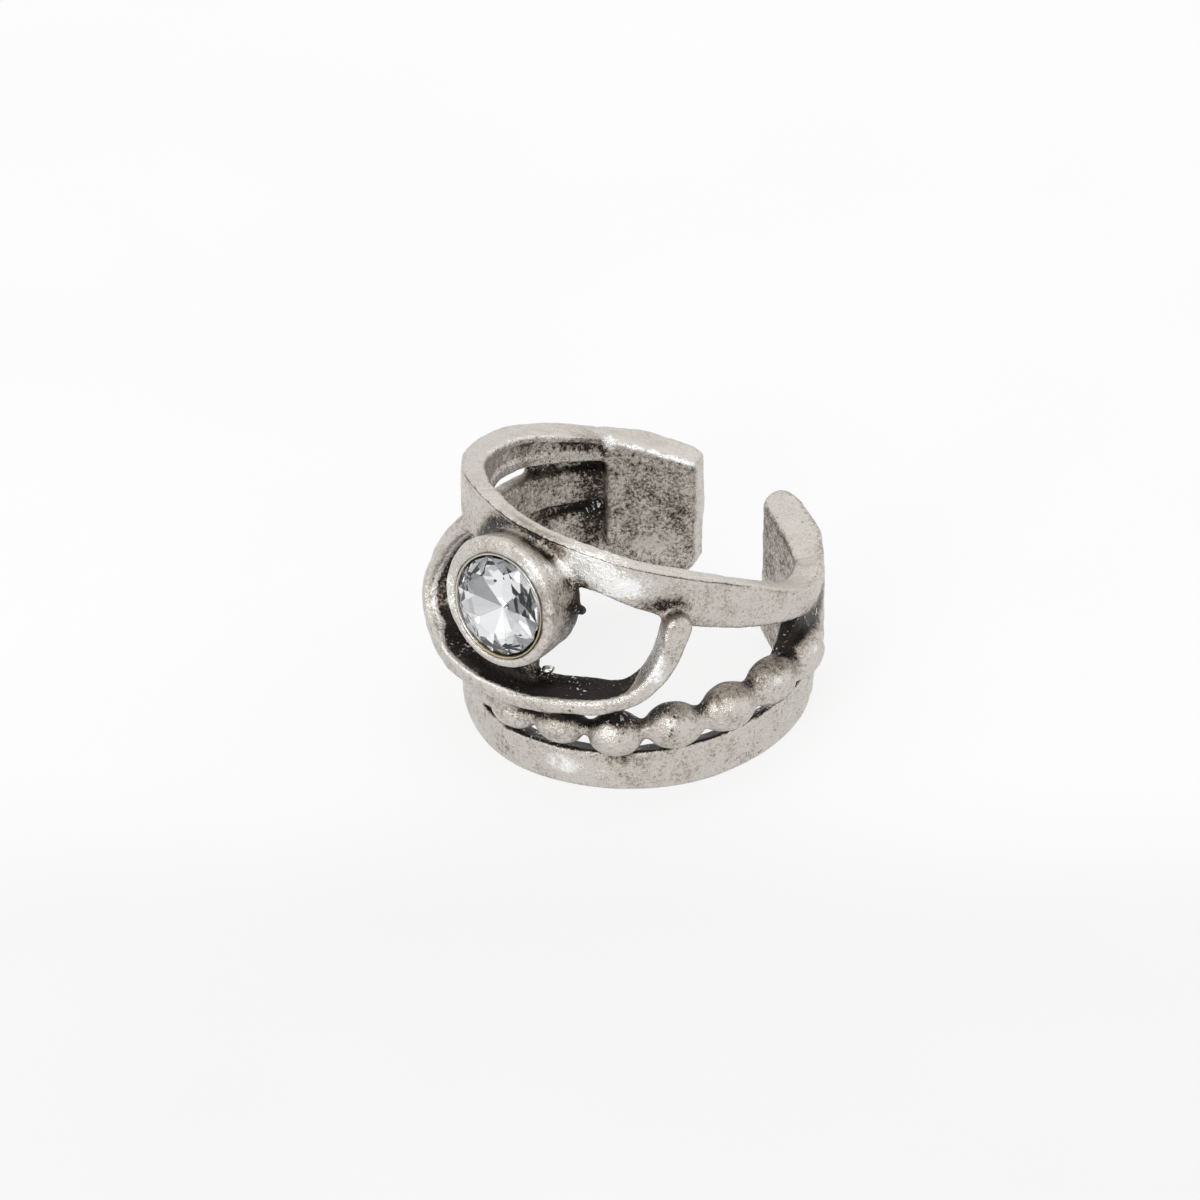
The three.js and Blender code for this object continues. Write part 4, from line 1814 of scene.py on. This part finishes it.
@dataclass(frozen=True)
class CutStone:
    """A round foiled chaton with a flat table, its depth measured from the setting's mouth."""

    radius: float = 2.9
    girdle_top: float = -0.1
    girdle: float = 0.15
    crown: float = 0.5
    table: float = 1.85
    star: float = 2.35
    pavilion: float = 0.85
    culet_off: Pair = (0.1, -0.1)
    mid: float = 1.7
    off_centre: Pair = (-0.07, -0.03)
    facets: int = 8
    # The painted reflections: how dark each foiled facet is, from 0 for light to 1 for dark.
    reflection_shades: tuple[float, ...] = (0.0, 0.1, 0.65, 0.0, 0.75, 0.35, 0.85, 0.1)
    seed: int = 3

    def ring(self, radius: float, depth: float, count: int, phase: float) -> list[Vector]:
        """Sets out a ring of corners.

        Args:
            radius: Its radius.
            depth: Its height along the stone's axis.
            count: How many corners.
            phase: How many steps it is turned by.

        Returns:
            The corners.
        """
        x, y = self.off_centre
        turns = [(i + phase) / count * TURN for i in range(count)]
        return [Vector((x + radius * math.cos(t), y + radius * math.sin(t), depth)) for t in turns]

    def corners(self) -> list[Vector]:
        """Sets out the stone's corners.

        Returns:
            Those of the table, star, girdle's top, girdle's bottom, pavilion and culet.
        """
        n = self.facets
        bottom = self.girdle_top - self.girdle
        flat = math.cos(math.pi / n)
        star_share = (self.radius - self.star * flat) / (self.radius - self.table)
        mid_share = 1.0 - self.mid * flat / self.radius
        return [
            *self.ring(self.table, self.girdle_top + self.crown, n, 0.0),
            *self.ring(self.star, self.girdle_top + self.crown * star_share, n, 0.5),
            *self.ring(self.radius, self.girdle_top, 2 * n, 0.0),
            *self.ring(self.radius, bottom, 2 * n, 0.0),
            *self.ring(self.mid, bottom - self.pavilion * mid_share, n, 1.0),
            Vector((*self.culet_off, bottom - self.pavilion)),
        ]

    def crown_faces(self) -> list[tuple[int, ...]]:
        """Lays out the clear faces.

        Returns:
            The faces above the girdle, and then the girdle's own.
        """
        n = self.facets
        star = n
        top = 2 * n
        bottom = 4 * n
        around = 2 * n
        faces = [tuple(range(n))]
        for i in range(n):
            j = (i + 1) % n
            faces.append((i, star + i, j))
            faces.append((j, star + i, top + 2 * j))
            faces.append((j, top + 2 * j, star + j))
            faces.append((star + i, top + 2 * i, top + 2 * i + 1))
            faces.append((star + i, top + 2 * i + 1, top + (2 * i + 2) % around))
        for i in range(around):
            j = (i + 1) % around
            faces.append((top + i, bottom + i, bottom + j, top + j))
        return faces

    def pavilion_faces(self) -> list[tuple[int, ...]]:
        """Lays out the foiled faces under the girdle.

        Returns:
            The faces, four to each main.
        """
        n = self.facets
        bottom = 4 * n
        mid = 6 * n
        culet = 7 * n
        around = 2 * n
        faces = []
        for i in range(n):
            here = bottom + 2 * i + 1
            after = bottom + (2 * i + 2) % around
            last = bottom + (2 * i + 3) % around
            faces.append((culet, mid + i, here))
            faces.append((culet, here, mid + (i - 1) % n))
            faces.append((mid + i, after, here))
            faces.append((mid + i, last, after))
        return faces

    def foil_painted_reflections(self) -> np.ndarray:
        """Draws the foiled faces' painted reflections, one fixed shade each; the two halves of a
        main share theirs.

        Returns:
            A shade for each face.
        """
        drawn = np.random.default_rng(self.seed).choice(self.reflection_shades, (self.facets, 4))
        drawn[:, 1] = drawn[:, 0]
        return drawn.ravel()

    def build(self, setting: TubeSetting, hole: Vector) -> bpy.types.Object:
        """Cuts the stone.

        Args:
            setting: The setting it sits in.
            hole: Where the middle of the finger hole stands, in metres.

        Returns:
            The stone.
        """
        corners = [corner * MM for corner in self.corners()]
        mesh = form("cut_crystal", corners, self.crown_faces() + self.pavilion_faces())
        mesh.transform(Matrix.Translation(hole) @ setting.placing())
        return stand(mesh)

    def dress(self, stone: bpy.types.Object) -> None:
        """Polishes the stone and foils its back, with painted reflections on the foil's facets.

        Args:
            stone: The stone.
        """
        clear = len(self.crown_faces())
        foiled = len(self.pavilion_faces())
        reflection_shades = np.concatenate([np.zeros(clear), self.foil_painted_reflections()])
        write_marks(stone.data, {"shade": reflection_shades}, Spread.FACES)
        stone.data.materials.append(Crystal().material())
        stone.data.materials.append(MirrorFoil().material())
        stone.data.polygons.foreach_set("material_index", [0] * clear + [1] * foiled)


@dataclass(frozen=True)
class StoneCup:
    """The thin turned cup that lines the seat."""

    outside: float = 3.12
    wall: float = 0.12
    depth: float = 1.0
    steps: int = 96
    round_over: float = 0.05
    outer_foot: Pair = (0.9, -2.4)
    inner_foot: Pair = (0.2, -2.2)
    inner_depths: tuple[float, ...] = (-0.2, -0.25, -0.42)
    crevice_in: Pair = (-0.04, -0.06)
    crevice_out: Pair = (-0.24, -0.22)
    crevice_turn: float = 20.0
    crevice_side: Pair = (-0.1, 0.4)
    gilded_turn: float = -50.0
    gilded_side: Pair = (0.1, 0.8)

    def profile(self) -> list[Pair]:
        """Draws the turned outline.

        Returns:
            Pairs of a radius and a depth.
        """
        inner = self.outside - self.wall
        edge = self.round_over
        return [
            self.outer_foot,
            (self.outside, -self.depth),
            (self.outside, -edge),
            (self.outside - edge, 0.0),
            (inner + edge, 0.0),
            (inner, -edge),
            *((inner, depth) for depth in self.inner_depths),
            self.inner_foot,
        ]

    def build(self, setting: TubeSetting, hole: Vector) -> bpy.types.Object:
        """Turns the cup.

        Args:
            setting: The setting it sits in.
            hole: Where the middle of the finger hole stands, in metres.

        Returns:
            The cup.
        """
        outline = self.profile()
        count = len(outline)
        wrap = self.steps * count
        corners = []
        faces = []
        for i in range(self.steps):
            turn = i / self.steps * TURN
            for k, (radius, depth) in enumerate(outline):
                corner = Vector((radius * math.cos(turn), radius * math.sin(turn), depth))
                corners.append(corner * MM)
                here = i * count + k
                up = i * count + (k + 1) % count
                faces.append((here, (here + count) % wrap, (up + count) % wrap, up))
        mesh = form("gilt_cup", corners, faces, smooth=True)
        mesh.transform(Matrix.Translation(hole) @ setting.placing())
        return stand(mesh)

    def dress(self, cup: bpy.types.Object) -> None:
        """Gilds the cup, with a painted shadow in the crevice round the stone, on one side.

        Args:
            cup: The cup.
        """
        outline = self.profile()
        turns = np.repeat(np.arange(self.steps) / self.steps * TURN, len(outline))
        depths = np.tile([depth for _, depth in outline], self.steps)
        # The crevice's painted shadow falls on this one side only.
        shaded_side = ramp(np.cos(turns - self.crevice_turn * ARC), *self.crevice_side)
        gilded_side = ramp(np.cos(turns - self.gilded_turn * ARC), *self.gilded_side)
        crevice = stretch(depths, self.crevice_in, self.crevice_out)
        marks = {"crevice_shade": crevice * shaded_side, "gilding": gilded_side}
        write_marks(cup.data, marks, Spread.CORNERS)
        cup.data.materials.append(WornGilt().material())


# ---- the studio ----


def way_at(azimuth: float, height: float) -> Vector:
    """Works out the way to a place round the ring.

    Args:
        azimuth: Its angle round the ring, in degrees from +X.
        height: Its angle above the floor, in degrees.

    Returns:
        The way, one unit long.
    """
    flat = math.cos(height * ARC)
    around = azimuth * ARC
    return Vector((math.cos(around) * flat, math.sin(around) * flat, math.sin(height * ARC)))


def face(piece: bpy.types.Object, place: Vector, way: Vector) -> None:
    """Hangs a lamp or camera, with its back to a way."""
    piece.location = place
    piece.rotation_euler = way.to_track_quat("Z", "Y").to_euler()


class Lamp(Enum):
    """The soft lamps: where each stands round the ring, its size and its power."""

    KEY = (279.0, 30.0, 0.9, 0.35, 2.5)
    OVERHEAD = (30.0, 82.0, 1.2, 1.2, 0.6)

    def place(self) -> None:
        """Hangs the lamp, aimed at the ring."""
        azimuth, height, distance, side, power = self.value
        way = way_at(azimuth, height)
        lamp = bpy.data.lights.new(self.name.lower(), "AREA")
        lamp.shape = "DISK"
        lamp.size = side
        lamp.energy = power
        face(stand(lamp), way * distance, way)


@dataclass(frozen=True)
class Studio:
    """The pale floor, the soft lamps and the camera."""

    azimuth: float = -51.0
    elevation: float = 35.5
    distance: float = 0.39
    aim: Triple = (-0.00157, -0.00142, 0.0061)
    lens: float = 201.8
    film: float = 36.0
    nearest: float = 0.01
    floor_side: float = 3.0
    sky: float = 1.1
    dim_side: float = 0.7
    dimming: Pair = (0.62, 0.95)
    panels: float = 0.22
    panel_pattern: Pair = (0.55, 1.0)

    def way(self) -> Vector:
        """Returns the way from the ring to the open, dimmer side of the room."""
        return way_at(self.azimuth, self.elevation)

    def camera(self, hole: Vector) -> None:
        """Sets the camera up.

        Args:
            hole: Where the middle of the finger hole stands, in metres.
        """
        way = self.way()
        camera = bpy.data.cameras.new("studio_camera")
        camera.lens = self.lens
        camera.sensor_width = self.film
        camera.clip_start = self.nearest
        body = stand(camera)
        face(body, hole + Vector(self.aim) + way * self.distance, way)
        bpy.context.scene.camera = body

    def floor(self) -> None:
        """Lays the pale sheet under the ring."""
        half = self.floor_side / 2.0
        corners = [(-half, -half, 0.0), (half, -half, 0.0), (half, half, 0.0), (-half, half, 0.0)]
        sheet = stand(form("pale_sheet", corners, [(0, 1, 2, 3)]))
        sheet.data.materials.append(PaperFloor().material())

    def light(self) -> None:
        """Hangs the lamps and sets the soft surroundings."""
        for lamp in Lamp:
            lamp.place()
        nodes = Nodes(bpy.data.worlds.new("soft_room"))
        way = nodes.add("TexCoord").outputs["Generated"]
        dim = nodes.between(nodes.toward(way, self.way()), *self.dimming)
        panels = nodes.mottle(way, *self.panel_pattern)
        less = self.dim_side - self.sky
        strength = nodes.weigh((dim, less), (panels, self.panels), start=self.sky)
        white = (1.0, 1.0, 1.0, 1.0)
        background = nodes.feed(nodes.add("Background"), {"Strength": strength, "Color": white})
        nodes.end("OutputWorld", background)
        bpy.context.scene.world = nodes.owner
        bpy.context.scene.view_settings.view_transform = "Standard"


def hand_over(piece: bpy.types.Object) -> None:
    """Lets a dressed piece ride with the ring, and logs its faces and finishes.

    Args:
        piece: The piece.
    """
    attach(piece, ROOT)
    finishes = ", ".join(finish.name for finish in piece.data.materials)
    log.info("%s: %d faces, finished in %s", piece.name, len(piece.data.polygons), finishes)


def finger_hole() -> Vector:
    """Returns the middle of the finger hole at floor level, from the metalwork's own box."""
    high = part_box("metalwork")[1]
    return Vector((high[0] - HOLE_IN[0] * MM, high[1] - HOLE_IN[1] * MM, 0.0))


def main() -> None:
    """Builds the ring and its studio."""
    logging.basicConfig(level=logging.INFO, format="%(message)s", stream=sys.stdout)
    hole = finger_hole()
    studio = Studio()
    studio.camera(hole)
    studio.floor()
    studio.light()

    metalwork = Metalwork()
    strands = metalwork.build(hole)
    metalwork.dress(strands)
    hand_over(strands)
    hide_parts("metalwork")

    cut_stone = CutStone()
    stone = cut_stone.build(metalwork.setting, hole)
    cut_stone.dress(stone)
    hand_over(stone)
    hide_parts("stone")

    stone_cup = StoneCup()
    cup = stone_cup.build(metalwork.setting, hole)
    stone_cup.dress(cup)
    hand_over(cup)
    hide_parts("stone_cup")


if __name__ == "__main__":
    main()
